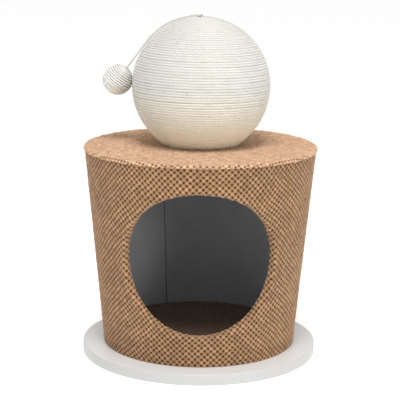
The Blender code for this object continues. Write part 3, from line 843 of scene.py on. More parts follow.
@dataclass(frozen=True)
class RopeFinish:
    """Twisted fibre rope: fibres along strands, painted shade in grooves, painted bounce light low
    down.

    Attributes:
        name: The material's name.
        colour: Of the strands' crests.
        groove: Between the strands, darker than the crests: painted shade in the grooves.
        painted_bounce_tint: Painted bounce light: a lighter, warmer tint where the rope is low,
            near the lid.
        painted_bounce_from: Height below which the tint is full.
        painted_bounce_to: Height above which there is none.
        fineness: Of the fibres.
    """

    name: str
    colour: Colour
    groove: Colour
    painted_bounce_tint: Colour = (1.45, 1.32, 1.10)
    painted_bounce_from: float = 0.366
    painted_bounce_to: float = 0.462
    fineness: float = 2600.0

    def build(self) -> bpy.types.Material:
        """Return the material, which reads the place on the rope stored on the mesh."""
        made = Material(self.name, 0.86, Sheen_Weight=0.12, Sheen_Roughness=0.5,
                        Specular_IOR_Level=0.25)
        along = made.stored("rope_place", "Vector")
        fibre = made.fibres(along, self.fineness, stretch=0.06)
        # Painted shade: the colour darkens from the strands' crests into the grooves between them.
        crest_against_groove_shade = made.nodes.roughened(made.stored("rope_crest"), fibre, amount=0.7)
        colour = made.nodes.mix(made.nodes.ranged(crest_against_groove_shade, 0.05, 0.6), self.groove, self.colour)
        place = made.surface_place()
        # Painted bounce light: low on the rope the colour is tinted lighter and warmer, as if lit
        # from the lid.
        height = made.nodes.add("ShaderNodeSeparateXYZ", {"Vector": place}).outputs["Z"]
        low = made.nodes.ranged(height, self.painted_bounce_from, self.painted_bounce_to, 1.0, 0.0)
        colour = made.nodes.mix(low, colour, self.painted_bounce_tint, "MULTIPLY")
        colour = made.drift(colour, place, scale=60.0, amount=0.10)
        colour = made.drift(colour, along, scale=34.0, amount=0.16)
        return made.wire(Base_Color=colour, Normal=made.bump(fibre, depth=0.0006))


@dataclass(frozen=True)
class FeltFinish:
    """Needled felt: matted short fibres with soft patches."""

    name: str
    colour: Colour

    def build(self) -> bpy.types.Material:
        """Return the material."""
        made = Material(self.name, 0.95, Sheen_Weight=0.2, Sheen_Roughness=0.5,
                        Specular_IOR_Level=0.15)
        place = made.surface_place()
        matted = made.fibres(place, fineness=700.0)
        share = made.nodes.ranged(matted, 0.3, 0.75)
        colour = made.nodes.mix(share, shaded(self.colour, 0.8), shaded(self.colour, 1.25))
        colour = made.drift(colour, place, scale=14.0, amount=0.25)
        return made.wire(Base_Color=colour, Normal=made.bump(matted, depth=0.0007))


@dataclass(frozen=True)
class CoatedBoardFinish:
    """A round board under a satin coat, with the coat's faint ripple, painted shade on its cut
    edge.

    Attributes:
        name: The material's name.
        colour: Of the coat on the flat faces.
        edge: Of the cut edge, darker than the flat faces: painted shade.
        edge_from: Distance from the board's middle where the edge starts.
        edge_to: Distance where it is the edge alone.
        roughness: Of the coat.
    """

    name: str
    colour: Colour
    edge: Colour
    edge_from: float = 0.1989
    edge_to: float = 0.1997
    roughness: float = 0.38

    def build(self) -> bpy.types.Material:
        """Return the material."""
        made = Material(self.name, self.roughness, Coat_Weight=0.15, Coat_Roughness=0.25)
        place = made.surface_place()
        flat = made.nodes.add("ShaderNodeVectorMath", {0: place, 1: (1.0, 1.0, 0.0)},
                              operation="MULTIPLY").outputs[0]
        reach = made.nodes.add("ShaderNodeVectorMath", {0: flat},
                               operation="LENGTH").outputs["Value"]
        rim = made.nodes.ranged(reach, self.edge_from, self.edge_to)
        # Painted shade: the cut edge is coloured darker than the flat faces.
        coat = made.nodes.mix(rim, self.colour, self.edge)
        ripple = made.noise(place, scale=260.0, detail=2.0)
        rough = made.nodes.ranged(made.noise(place, scale=22.0, detail=5.0), 0.3, 0.7,
                                  self.roughness - 0.05, self.roughness + 0.07)
        colour = made.drift(coat, place, scale=5.0, amount=0.03)
        return made.wire(Base_Color=colour, Roughness=rough,
                         Normal=made.bump(ripple, depth=0.00006))


@dataclass(frozen=True)
class FibreboardFinish:
    """Bare pressed board: fine chips and fibres."""

    name: str
    colour: Colour

    def build(self) -> bpy.types.Material:
        """Return the material."""
        made = Material(self.name, 0.8, Specular_IOR_Level=0.2)
        place = made.surface_place()
        chips = made.nodes.add("ShaderNodeTexVoronoi", {"Vector": place, "Scale": 420.0})
        grey = made.nodes.add("ShaderNodeRGBToBW", {"Color": chips.outputs["Color"]}).outputs[0]
        share = made.nodes.ranged(grey, 0.2, 0.8)
        colour = made.nodes.mix(share, shaded(self.colour, 0.7), self.colour)
        colour = made.drift(colour, place, scale=18.0, amount=0.2)
        fibre = made.fibres(place, fineness=800.0, stretch=0.3)
        return made.wire(Base_Color=colour, Normal=made.bump(fibre, depth=0.0003))


@dataclass(frozen=True)
class SteelFinish:
    """Zinc-plated steel with faint turning marks and dull patches."""

    name: str
    colour: Colour

    def build(self) -> bpy.types.Material:
        """Return the material."""
        made = Material(self.name, 0.32, Metallic=1.0)
        place = made.surface_place()
        rough = made.nodes.ranged(made.noise(place, scale=300.0, detail=4.0), 0.3, 0.7, 0.24, 0.45)
        marks = made.fibres(place, fineness=3000.0, stretch=0.2)
        colour = made.drift(self.colour, place, scale=120.0, amount=0.15)
        return made.wire(Base_Color=colour, Roughness=rough,
                         Normal=made.bump(marks, depth=0.00003))


@dataclass(frozen=True)
class CoreFinish:
    """Moulded plain core with a faintly grained skin."""

    name: str
    colour: Colour

    def build(self) -> bpy.types.Material:
        """Return the material."""
        made = Material(self.name, 0.6)
        place = made.surface_place()
        grain = made.noise(place, scale=500.0, detail=3.0)
        colour = made.drift(self.colour, place, scale=20.0, amount=0.08)
        return made.wire(Base_Color=colour, Normal=made.bump(grain, depth=0.0001))


@dataclass(frozen=True)
class StudioFloorFinish:
    """A plain pale studio floor, lit a little from below."""

    name: str
    colour: Colour
    glow: float

    def build(self) -> bpy.types.Material:
        """Return the material."""
        made = Material(self.name, 0.9, Specular_IOR_Level=0.1, Emission_Strength=self.glow)
        made.shader.inputs["Base Color"].default_value = (*self.colour, 1.0)
        made.shader.inputs["Emission Color"].default_value = (1.0, 1.0, 1.0, 1.0)
        return made.material


class Finish(Enum):
    """The object's finishes."""

    PLUSH = PlushFinish("tan_bobble_plush", top=(0.385, 0.222, 0.112),
                        shaded_flank=(0.165, 0.080, 0.034), hole=(0.046, 0.019, 0.008))
    # The lid's plush is the wall's plush painted lighter: painted light, as light from above falls
    # on the lid.
    LID_PLUSH = PlushFinish("lid_plush_painted_light", top=(0.63, 0.395, 0.243),
                            shaded_flank=(0.38, 0.218, 0.119), hole=(0.125, 0.058, 0.028), patches=0.20)
    PLUSH_GROUND = GroundClothFinish("plush_ground", (0.030, 0.014, 0.007))
    MAT = PlushFinish("mat_bobble_plush", top=(0.145, 0.074, 0.034),
                      shaded_flank=(0.060, 0.030, 0.014), hole=(0.012, 0.006, 0.003))
    FELT = FeltFinish("needled_grey_felt", (0.330, 0.325, 0.332))
    SISAL = RopeFinish("sisal_rope", (0.605, 0.597, 0.557), groove=(0.54, 0.527, 0.478))
    TOY_ROPE = RopeFinish("toy_sisal_rope", (0.82, 0.81, 0.77), groove=(0.62, 0.60, 0.54),
                          fineness=3200.0)
    CORD = RopeFinish("natural_cord", (0.84, 0.83, 0.79), groove=(0.68, 0.66, 0.60),
                      fineness=3200.0)
    WHITE_BOARD = CoatedBoardFinish("white_coated_board", (0.66, 0.655, 0.645),
                                    edge=(0.47, 0.468, 0.46))
    RAW_BOARD = FibreboardFinish("pressed_board", (0.42, 0.30, 0.18))
    # Hardboard's own dark brown, made darker still so the felt's seam gap shows a dark line: partly
    # painted shade.
    BENT_BOARD = FibreboardFinish("dark_hardboard_and_seam_shade", (0.11, 0.075, 0.050))
    CORE = CoreFinish("moulded_core", (0.55, 0.55, 0.52))
    STEEL = SteelFinish("plated_steel", (0.60, 0.61, 0.62))

    def material(self) -> bpy.types.Material:
        """Return this finish's material, made on first use."""
        return bpy.data.materials.get(self.value.name) or self.value.build()


# ---------------------------------------------------------------- ropes and cords


def walked_to(points: Array) -> Array:
    """Return how far each point of a line is from its start, along the line."""
    return np.concatenate([[0.0], np.cumsum(np.linalg.norm(np.diff(points, axis=0), axis=1))])


@dataclass(frozen=True)
class Lay:
    """How a rope is twisted.

    Attributes:
        radius: Of the rope.
        strands: How many strands are twisted together.
        pitch: Length in which a strand goes once round.
        corners: Vertices to a strand in the rope's section.
        groove: Share of the radius that is lost between strands.
        step: From one ring of vertices to the next.
    """

    radius: float
    strands: int = 3
    pitch: float = 0.0135
    corners: int = 4
    groove: float = 0.24
    step: float = 0.0024

    def section(self) -> list[tuple[float, float, float]]:
        """Return the rope's section as points, the crests of its strands farthest out."""
        points = []
        total = self.strands * self.corners
        for number in range(total):
            angle = FULL_TURN * number / total
            radius = self.radius * (1.0 - self.groove * (1.0 - self.crest(number)))
            points.append((radius * math.cos(angle), radius * math.sin(angle), 0.0))
        return points

    def crest(self, number: int) -> float:
        """Return how near a corner of the section is to a strand's crest, from 0 to 1."""
        return math.sqrt(abs(math.cos(math.pi * number / self.corners)))

    def sweep(self, name: str, line: Array, thickness: Array | None = None) -> bpy.types.Object:
        """Twist the rope along a line of evenly spaced points.

        Args:
            name: The piece's name.
            line: The rope's centre line.
            thickness: Share of the full radius at each point.

        Returns:
            The rope, a closed mesh with its place and crests stored on it.
        """
        bpy.ops.curve.primitive_bezier_circle_add()
        section = added(name + "_section")
        section.data.splines.clear()
        edge = section.data.splines.new("POLY")
        corners = self.section()
        edge.points.add(len(corners) - 1)
        edge.points.foreach_set("co", [value for corner in corners for value in (*corner, 1.0)])
        edge.use_cyclic_u = True

        walked = walked_to(line)
        shares = np.ones(len(line)) if thickness is None else thickness
        curve = bpy.data.curves.new(name, "CURVE")
        curve.dimensions = "3D"
        curve.twist_mode = "Z_UP"
        curve.bevel_mode = "OBJECT"
        curve.bevel_object = section
        curve.use_fill_caps = True
        spline = curve.splines.new("POLY")
        spline.points.add(len(line) - 1)
        spline.points.foreach_set("co", np.column_stack([line, np.ones(len(line))]).ravel())
        spline.points.foreach_set("radius", shares)
        spline.points.foreach_set("tilt", walked / self.pitch * FULL_TURN)
        rope = mesh_from(name, curve)
        bpy.data.objects.remove(section)
        self.mark(rope, walked)
        weld(rope)
        shade_smooth(rope)
        return rope

    def mark(self, rope: bpy.types.Object, walked: Array) -> None:
        """Store each vertex's place along and round the rope, and how near it is to a crest."""
        total = self.strands * self.corners
        ring, corner = np.divmod(np.arange(len(rope.data.vertices)), total)
        angle = FULL_TURN * corner / total
        along = walked[np.minimum(ring, len(walked) - 1)]
        place = np.column_stack([along, self.radius * np.cos(angle), self.radius * np.sin(angle)])
        crests = np.array([self.crest(number) for number in range(total)])
        set_values(rope.data, "rope_place", place)
        set_values(rope.data, "rope_crest", crests[corner])


def smooth_line(points: Array, steps: int) -> Array:
    """Return a smooth line through some points.

    Args:
        points: The points to pass through.
        steps: Points made between two of them.

    Returns:
        The finer points.
    """
    padded = np.vstack([2 * points[0] - points[1], points, 2 * points[-1] - points[-2]])
    made = []
    for number in range(1, len(padded) - 2):
        before, start, end, after = padded[number - 1:number + 3]
        for share in np.linspace(0.0, 1.0, steps, endpoint=False):
            made.append(0.5 * (2 * start + (end - before) * share
                               + (2 * before - 5 * start + 4 * end - after) * share ** 2
                               + (3 * start - before - 3 * end + after) * share ** 3))
    made.append(points[-1])
    return np.array(made)


def evenly(points: Array, step: float) -> Array:
    """Return points about a step apart along a line of points, its ends among them."""
    walked = walked_to(points)
    count = max(2, round(walked[-1] / step))
    wanted = np.linspace(0.0, walked[-1], count + 1)
    return np.column_stack([np.interp(wanted, walked, points[:, axis]) for axis in range(3)])


def winding(radius: float, first: float, last: float, pitch: float, steps: int) -> Array:
    """Return a line that winds round a ball from one angle from its pole to another.

    Args:
        radius: From the ball's middle to the line.
        first: Angle from the pole at the start, in radians.
        last: Angle from the pole at the end.
        pitch: Distance between neighbouring turns.
        steps: Points to a turn.

    Returns:
        The points about the origin, with the pole on +Z.
    """
    turns = radius * (last - first) / pitch
    count = int(turns * steps)
    share = np.linspace(0.0, 1.0, count + 1)
    polar = first + (last - first) * share
    turned = FULL_TURN * turns * share
    return radius * np.column_stack([np.sin(polar) * np.cos(turned), np.sin(polar) * np.sin(turned),
                                     np.cos(polar)])


# ---------------------------------------------------------------- sub-assemblies


@dataclass
class BaseBoard:
    """The round white board that everything stands on."""

    edge: float = 0.0015
    edge_segments: int = 4
    sides: int = 192
    screw_circle: float = 0.115
    screws: int = 4
    screw_head: float = 0.0043
    screw_hole: float = 0.0023
    screw_seat: float = 0.0029      # depth of the countersunk part
    hole_sides: int = 32

    def build(self) -> None:
        """Model the board with its screw holes, and dress it."""
        low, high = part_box("base_board")
        radius = high.x
        bpy.ops.mesh.primitive_circle_add(vertices=self.sides, radius=radius, fill_type="NGON",
                                          location=(0.0, 0.0, low.z))
        board = added("base_disc")
        with editing_all(board, "FACE"):
            bpy.ops.mesh.extrude_region_move(
                TRANSFORM_OT_translate={"value": (0.0, 0.0, high.z - low.z)})
        settle()
        weld(board)
        finish_with(board, "BEVEL", width=self.edge, segments=self.edge_segments,
                    limit_method="ANGLE", angle_limit=math.radians(60))
        for number in range(self.screws):
            angle = math.pi / 4 + number * math.pi / 2
            self.drill(board, (self.screw_circle * math.cos(angle),
                               self.screw_circle * math.sin(angle)), high.z)
        shade_smooth(board, 30.0)
        dress(board, Finish.WHITE_BOARD)
        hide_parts("base_board")
        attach(board, "root")

    def drill(self, board: bpy.types.Object, place: tuple[float, float], top: float) -> None:
        """Cut one countersunk screw hole from below.

        Args:
            board: The board.
            place: The hole's middle.
            top: Height of the board's top face.
        """
        bpy.ops.mesh.primitive_cylinder_add(vertices=self.hole_sides, radius=self.screw_hole,
                                            depth=2 * top, location=(*place, top))
        cut_away(board, added("screw_hole"))
        bpy.ops.mesh.primitive_cone_add(vertices=self.hole_sides, radius1=2 * self.screw_head,
                                        radius2=self.screw_hole, depth=self.screw_seat * 2,
                                        location=(*place, 0.0))
        cut_away(board, added("screw_seat"))


@dataclass
class Cave:
    """The cave's plush cover, felt linings and mat."""

    weave: Weave = field(default_factory=Weave)
    mat_weave: Weave = field(
        default_factory=lambda: Weave(spacing=0.0096, height=0.0022, quads=5, seed=9))
    door_radius: float = 0.119      # half the doorway's height on the flat cloth
    door_widening: float = 1.11     # its width over its height
    door_rise: float = 0.004        # of its middle above the middle of the cover
    door_edge: float = 0.0042       # rounding of the plush round the doorway
    cloth_waver: float = 0.0011     # by which the cover's bobbles leave their straight rows
    waver_from: float = 0.03        # distance from the back seam where they do so in full
    cloth_middle: float = -0.03     # of the cover's sheet, up the flat cloth
    cloth_reach: float = 0.60       # half the cover's sheet
    panel_middle: float = 0.38      # of a side panel's sheet, across the flat cloth
    panel_reach: float = 0.30       # half a panel's sheet
    rim_puff: float = 0.0018        # by which the plush stands proud round the doorway
    rim_puff_inset: float = 0.002
    rim_puff_width: float = 0.007
    lip_end: float = 0.0018         # rounding where the plush meets the lining
    lip_beyond: float = 0.002       # by which the turned-in plush passes the lining's face
    ground_depth: float = 0.0043    # of the ground cloth's face below the bobbles' tops
    ground_thickness: float = 0.0012
    tuck: float = 0.0036            # of the plush's cut edges, inwards
    front_half_width: float = 0.19
    back_seam_width: float = 0.0035
    back_seam_height: float = 0.25  # share of the bobbles' height that is left at the seam
    lining_face: float = 0.0106     # depth of the felt's outer face below the plush's face
    lining_thickness: float = 0.0018
    lining_seam_turn: float = 22.4  # degrees from the back towards -X
    lining_seam_gap: float = 0.0014
    lining_doorway: float = 0.1234  # half the height of the felt's doorway
    lining_face_side: float = 0.006
    lining_middle: float = -0.05    # of the felt's sheet, up the flat cloth
    lining_reach: float = 0.70      # half the felt's sheet
    lining_margin: float = 0.01     # of felt kept above and below, to be trimmed
    lining_sink: float = 0.0006     # of the felt at its seam
    lining_sink_width: float = 0.003
    lining_ripple: float = 0.0005
    ceiling_sides: int = 128
    ceiling_rings: int = 6
    rim_rounding: float = 0.005
    rim_overlap: float = 0.0018     # of the lid's plush down over the wall's
    rim_turn: float = 0.0024        # rounding where the lid's plush turns under
    mat_side: float = 0.0135
    mat_crown: float = 0.0045
    mat_wave: float = 0.0009        # of the mat's soft waves
    mat_wave_fade: float = 0.02     # width inside the rim over which they fade out
    mat_turned_under: float = 0.010
    mat_voxel: float = 0.005        # of the pad whose swelling is simulated
    mat_pressure: float = 4.0
    mat_frames: int = 20
    mat_swell_cap: float = 0.012    # the farthest that a point of it may move

    def __post_init__(self) -> None:
        """Take the cone's place from the frame."""
        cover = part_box("wall_cover")
        self.foot_z, self.top_z = cover[0].z, cover[1].z
        self.cone = Cone(foot_z=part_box("base_board")[1].z,
                         middle_z=(self.foot_z + self.top_z) / 2 + self.door_rise)
        lip_depth = self.lining_face + self.lip_beyond
        inward = lip_depth - self.lip_end - self.door_edge
        self.lip = (Fold.round(self.door_edge, 90, self.weave.height / 2), Fold(inward),
                    Fold.round(self.lip_end, 90, 0.0))
        self.lip_start = self.door_radius + self.door_edge

    def oval(self, across: Array, up: Array) -> tuple[Array, Array]:
        """Measure points of the flat cloth from the doorway's middle.

        Args:
            across: Places across the flat cloth.
            up: Places up the flat cloth.

        Returns:
            Their distances as if the doorway were round, and how many times longer the real ones
            are.
        """
        distance = np.maximum(np.hypot(across / self.door_widening, up), MERGE)
        return distance, np.maximum(np.hypot(across, up) / distance, 1.0)

    def drape(self, across: Array, up: Array, below: Array) -> Array:
        """Bend the cover's flat cloth to the wall and turn it in round the doorway.

        Args:
            across: Places across the flat cloth.
            up: Places up the flat cloth.
            below: Depths below the bobbles' tops.

        Returns:
            The points in space.
        """
        distance, stretch = self.oval(across, up)
        beyond = (self.lip_start - distance) * stretch
        along, lift = fold_over(self.lip, beyond, below)
        outside = np.minimum(beyond + self.rim_puff_inset, 0.0) / self.rim_puff_width
        turned_in = np.maximum(beyond, 0.0) / self.door_edge
        lift = lift + self.rim_puff * np.exp(-outside ** 2 - turned_in ** 2)
        scale = (self.lip_start - along / stretch) / distance
        return self.cone.bend(across * scale, up * scale, -lift)

    def doorway_area(self, start: float, folded: float) -> float:
        """Return the area of the oval hole in a flat cloth whose edge is turned in by a length."""
        return math.pi * (start * self.door_widening - folded) * (start - folded)

    def covered(self, across: Array, up: Array) -> Array:
        """Return which bobbles lie on the wall's cover, or near enough to be trimmed to it."""
        margin = self.weave.side
        height = self.cone.height_at(across, up)
        angle = np.abs(self.cone.from_tip(across, up)[1])
        on_wall = (height > self.foot_z - margin) & (height < self.top_z + margin)
        return on_wall & (angle < self.cone.spread(180) + margin / self.cone.tip_reach)

    def open_doorway(self, cloth: bpy.types.Object, start: float, folded: float,
                     face: float) -> None:
        """Delete the flat faces that lie wholly inside the doorway.

        Args:
            cloth: The flat cloth.
            start: Half the doorway's height where the cloth starts to turn in.
            folded: Length of cloth that is turned in.
            face: The side of the cloth's small faces.
        """
        middles = face_centres(cloth.data)
        distance, stretch = self.oval(middles[:, 0], middles[:, 1])
        delete_faces(cloth, (start - distance) * stretch > folded + FACE_MARGIN * face)

    def cut_seam(self, cloth: bpy.types.Object, left: float, right: float) -> None:
        """Cut the flat cloth along the two lines that meet in its seam.

        Args:
            cloth: The flat cloth.
            left: Degrees round the wall from the front to the left-hand cut, towards -X.
            right: Degrees to the right-hand cut.
        """
        tip = (0.0, -self.cone.tip_reach, 0.0)
        for side, degrees in ((-1, left), (1, right)):
            angle = self.cone.spread(degrees)
            trim(cloth, tip, (side * math.cos(angle), -math.sin(angle), 0.0))

    def trim_to_wall(self, cloth: bpy.types.Object, low: float, high: float) -> None:
        """Cut a bent cloth level at its foot and its top."""
        trim(cloth, (0.0, 0.0, low), (0.0, 0.0, -1.0))
        trim(cloth, (0.0, 0.0, high), (0.0, 0.0, 1.0))

    def tuck_in(self, cloth: bpy.types.Object) -> None:
        """Turn the cover's cut edges at its foot, its top and the back seam inwards."""
        points = places(cloth.data)
        near = 2 * MERGE
        at_edge = np.abs(points[:, 2] - self.foot_z) < near
        at_edge |= np.abs(points[:, 2] - self.top_z) < near
        at_edge |= (np.abs(points[:, 0]) < near) & (points[:, 1] > 0)
        select_only(cloth, vertices=at_edge)
        with editing(cloth):
            bpy.ops.mesh.select_mode(type="EDGE")
            bpy.ops.mesh.extrude_edges_move()
            draw_in(1.0 - self.tuck / self.cone.top_radius)

    def seam_distance(self, across: Array, up: Array) -> Array:
        """Return how far points of the cover's flat cloth lie from the back seam."""
        reach, angle = self.cone.from_tip(across, up)
        return (self.cone.spread(180) - np.abs(angle)) * reach

    def seam_press(self, across: Array, up: Array) -> Array:
        """Return how much of the bobbles' height is left near the back seam, from 0 to 1."""
        risen = np.clip(self.seam_distance(across, up) / self.back_seam_width, 0.0, 1.0) ** 0.7
        return self.back_seam_height + (1.0 - self.back_seam_height) * risen

    def stretched(self, flat: Array) -> Array:
        """Shift the cover's flat cloth a little, as if pulled round by hand, but not at its seam.

        The waves' numbers only have to be unlike one another, so that no shift repeats.

        Args:
            flat: Places on the flat cloth.

        Returns:
            The shifted places.
        """
        across, up = flat[:, 0], flat[:, 1]
        free = np.clip(self.seam_distance(across, up) / self.waver_from, 0.0, 1.0)
        shift = free * self.cloth_waver
        sideways = (np.sin(up * 43.0 + 2.1 * np.sin(across * 23.0))
                    + 0.5 * np.sin(up * 101.0 + across * 61.0))
        upwards = (np.sin(across * 39.0 + 1.7 * np.sin(up * 29.0))
                   + 0.5 * np.sin(across * 93.0 - up * 57.0))
        return flat + np.column_stack([shift * sideways, shift * upwards, np.zeros(len(flat))])

    def bobbles(self, name: str, middle: float,
                chosen: Callable[[Array], Array]) -> bpy.types.Object:
        """Model one panel of the cover's bobbled face.

        Args:
            name: The piece's name.
            middle: The panel's middle across the flat cloth.
            chosen: Takes bobble places across the cloth and picks the panel's own.

        Returns:
            The panel.
        """
        cloth = self.weave.sheet(
            name, (middle, self.cloth_middle if middle else 0.0), self.panel_reach,
            lambda across, up: self.covered(across, up) & chosen(across))
        self.open_doorway(cloth, self.lip_start, folded_length(self.lip),
                          self.weave.side / self.weave.quads)
        if middle:
            self.cut_seam(cloth, 180.0, 180.0)
        flat = places(cloth.data)
        height, tone = self.weave.relief(flat[:, 0], flat[:, 1])
        pressed = height * self.seam_press(flat[:, 0], flat[:, 1])
        flat = self.stretched(flat)
        below = self.weave.height * (1.0 - pressed)
        move_to(cloth.data, self.drape(flat[:, 0], flat[:, 1], below))
        self.weave.mark(cloth, height, tone)
        self.trim_to_wall(cloth, self.foot_z, self.top_z)
        self.tuck_in(cloth)
        weld(cloth)
        shade_smooth(cloth)
        return cloth

    def build_cover(self) -> None:
        """Model the wall's plush: its ground cloth, and three panels of bobbles on it."""
        width, middle = self.front_half_width, self.panel_middle
        panels = [self.bobbles("bobbles_front", 0.0, lambda across: np.abs(across) <= width),
                  self.bobbles("bobbles_left", -middle, lambda across: across < -width),
                  self.bobbles("bobbles_right", middle, lambda across: across > width)]
        for panel in panels:
            dress(panel, Finish.PLUSH)
            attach(panel, "root")

        ground = self.weave.sheet("wall_cloth", (0.0, self.cloth_middle), self.cloth_reach,
                                  self.covered, quads=1)
        folded = folded_length(self.lip)
        self.open_doorway(ground, self.lip_start, folded, self.weave.side)
        self.cut_seam(ground, 180.0, 180.0)
        flat = places(ground.data)
        below = np.full(len(flat), self.ground_depth)
        move_to(ground.data, self.drape(flat[:, 0], flat[:, 1], below))
        self.trim_to_wall(ground, self.foot_z, self.top_z)
        weld(ground)
        finish_with(ground, "SOLIDIFY", thickness=self.ground_thickness, offset=-1.0)
        shade_smooth(ground, 50.0)
        dress(ground, Finish.PLUSH_GROUND)
        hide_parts("wall_cover")
        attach(ground, "root")
        wide, long, area = self.cone.flat_size(self.foot_z, self.top_z, 360.0)
        area - self.doorway_area(self.lip_start, folded)

    def build_lining(self) -> None:
        """Model the felt inside the wall, with its upright seam."""
        low, high = (corner.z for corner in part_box("wall_lining"))
        faces = Weave(spacing=self.lining_face_side * ROOT_TWO)
        gap = math.degrees(self.lining_seam_gap / 2 / self.cone.foot_radius)
        left = 180.0 - self.lining_seam_turn - gap
        right = 180.0 + self.lining_seam_turn - gap

        def kept(across: Array, up: Array) -> Array:
            """Return which faces lie near the lining."""
            height = self.cone.height_at(across, up)
            return (height > low - self.lining_margin) & (height < high + self.lining_margin)

        felt = faces.sheet("felt_lining", (0.0, self.lining_middle), self.lining_reach, kept,
                           quads=1)
        self.open_doorway(felt, self.lining_doorway, 0.0, faces.side)
        self.cut_seam(felt, left, right)
        flat = places(felt.data)
        distance = self.oval(flat[:, 0], flat[:, 1])[0]
        scale = np.maximum(distance, self.lining_doorway) / distance
        across, up = flat[:, 0] * scale, flat[:, 1] * scale
        angle = self.cone.from_tip(across, up)[1]
        away = np.minimum(np.abs(angle + self.cone.spread(left)),
                          np.abs(angle - self.cone.spread(right)))
        near_seam = np.exp(-(away * self.cone.tip_reach / self.lining_sink_width) ** 2)
        ripple = (self.lining_ripple * np.sin(across * 31.0 + 2.0 * np.sin(up * 23.0))
                  * np.sin(up * 17.0 + across * 9.0))
        depth = self.lining_face + self.lining_thickness + ripple - self.lining_sink * near_seam
        move_to(felt.data, self.cone.bend(across, up, depth))
        self.trim_to_wall(felt, low, high)
        weld(felt)
        self.face_inwards(felt)
        finish_with(felt, "SOLIDIFY", thickness=self.lining_thickness, offset=-1.0)
        shade_smooth(felt, 50.0)
        dress(felt, Finish.FELT)
        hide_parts("wall_lining")
        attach(felt, "root")
        wide, long, area = self.cone.flat_size(low, high, 360.0)
        area - self.doorway_area(self.lining_doorway, 0.0)

    def face_inwards(self, cloth: bpy.types.Object) -> None:
        """Turn an open cloth's faces towards the cave's axis."""
        middles = face_centres(cloth.data)
        normals = np.zeros(len(cloth.data.polygons) * 3, np.float32)
        cloth.data.polygons.foreach_get("normal", normals)
        outwards = (middles[:, :2] * normals.reshape(-1, 3)[:, :2]).sum() > 0
        if outwards:
            with editing_all(cloth):
                bpy.ops.mesh.flip_normals()

    def build_ceiling(self) -> None:
        """Model the felt under the lid."""
        low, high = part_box("ceiling_lining")
        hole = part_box("bolt_washer")[1].x + CLEARANCE
        bpy.ops.mesh.primitive_circle_add(vertices=self.ceiling_sides, radius=high.x,
                                          fill_type="NOTHING", location=(0.0, 0.0, low.z))
        felt = added("ceiling_felt")
        with editing_all(felt, "EDGE"):
            radius = high.x
            for ring in range(1, self.ceiling_rings + 1):
                inner = high.x + (hole - high.x) * ring / self.ceiling_rings
                bpy.ops.mesh.extrude_edges_move()
                draw_in(inner / radius, low.z)
                radius = inner
        settle()
        weld(felt)
        finish_with(felt, "SOLIDIFY", thickness=high.z - low.z, offset=0.0)
        points = places(felt.data)
        points[:, 2] += (low.z + high.z) / 2 - (points[:, 2].min() + points[:, 2].max()) / 2
        move_to(felt.data, points)
        weld(felt)
        shade_smooth(felt, 40.0)
        dress(felt, Finish.FELT)
        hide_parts("ceiling_lining")
        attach(felt, "root")

    def round_sheet(self, name: str, weave: Weave, start: float, folds: Sequence[Fold],
                    below: float | None, top: Callable[[Array], Array]) -> bpy.types.Object:
        """Model a round bobbled cloth whose rim is folded over.

        Args:
            name: The piece's name.
            weave: Its bobbles.
            start: Radius at which its rim starts to fold.
            folds: The folds.
            below: Depth of a plain ground cloth, or None for the bobbled face.
            top: Takes points across the flat part and returns the height of the bobbles' tops.

        Returns:
            The cloth.
        """
        cut = start + folded_length(folds)
        plain = below is not None
        quads = 1 if plain else weave.quads
        reach = cut + weave.side
        cloth = weave.sheet(name, (0.0, 0.0), reach,
                            lambda across, up: np.hypot(across, up) < reach, quads=quads)
        middles = face_centres(cloth.data)
        margin = FACE_MARGIN * (weave.side / quads)
        delete_faces(cloth, np.hypot(middles[:, 0], middles[:, 1]) > cut + margin)
        flat = places(cloth.data)
        height, tone = weave.relief(flat[:, 0], flat[:, 1])
        depth = np.full(len(flat), below) if plain else weave.height * (1.0 - height)
        distance = np.hypot(flat[:, 0], flat[:, 1])
        along, lift = fold_over(folds, distance - start, depth)
        scale = (start + along) / np.maximum(distance, MERGE)
        bent = flat * scale[:, None]
        bent[:, 2] = lift + top(bent[:, :2])
        move_to(cloth.data, bent)
        if not plain:
            weave.mark(cloth, height, tone)
        weld(cloth)
        shade_smooth(cloth)
        return cloth

    def build_lid(self) -> None:
        """Model the lid's plush, folded down over its rim."""
        low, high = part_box("lid_cover")
        drop = high.z - low.z + self.rim_overlap - self.rim_rounding - self.rim_turn
        folds = (Fold.round(self.rim_rounding, 90, self.weave.height / 2), Fold(drop),
                 Fold.round(self.rim_turn, 90, 0.0), Fold(self.rim_turn))
        start = high.x - self.rim_rounding

        def level(flat: Array) -> Array:
            """Return the lid's height over some points."""
            return np.full(len(flat), high.z)

        face = self.round_sheet("bobbles_lid", self.weave, start, folds, None, level)
        # The lid's bobbles take the lighter plush: painted light from above.
        dress(face, Finish.LID_PLUSH)
        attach(face, "root")
        ground = self.round_sheet("lid_cloth", self.weave, start, folds, self.ground_depth, level)
        finish_with(ground, "SOLIDIFY", thickness=self.ground_thickness, offset=-1.0)
        dress(ground, Finish.PLUSH_GROUND)
        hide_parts("lid_cover")
        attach(ground, "root")
        cut = start + folded_length(folds)

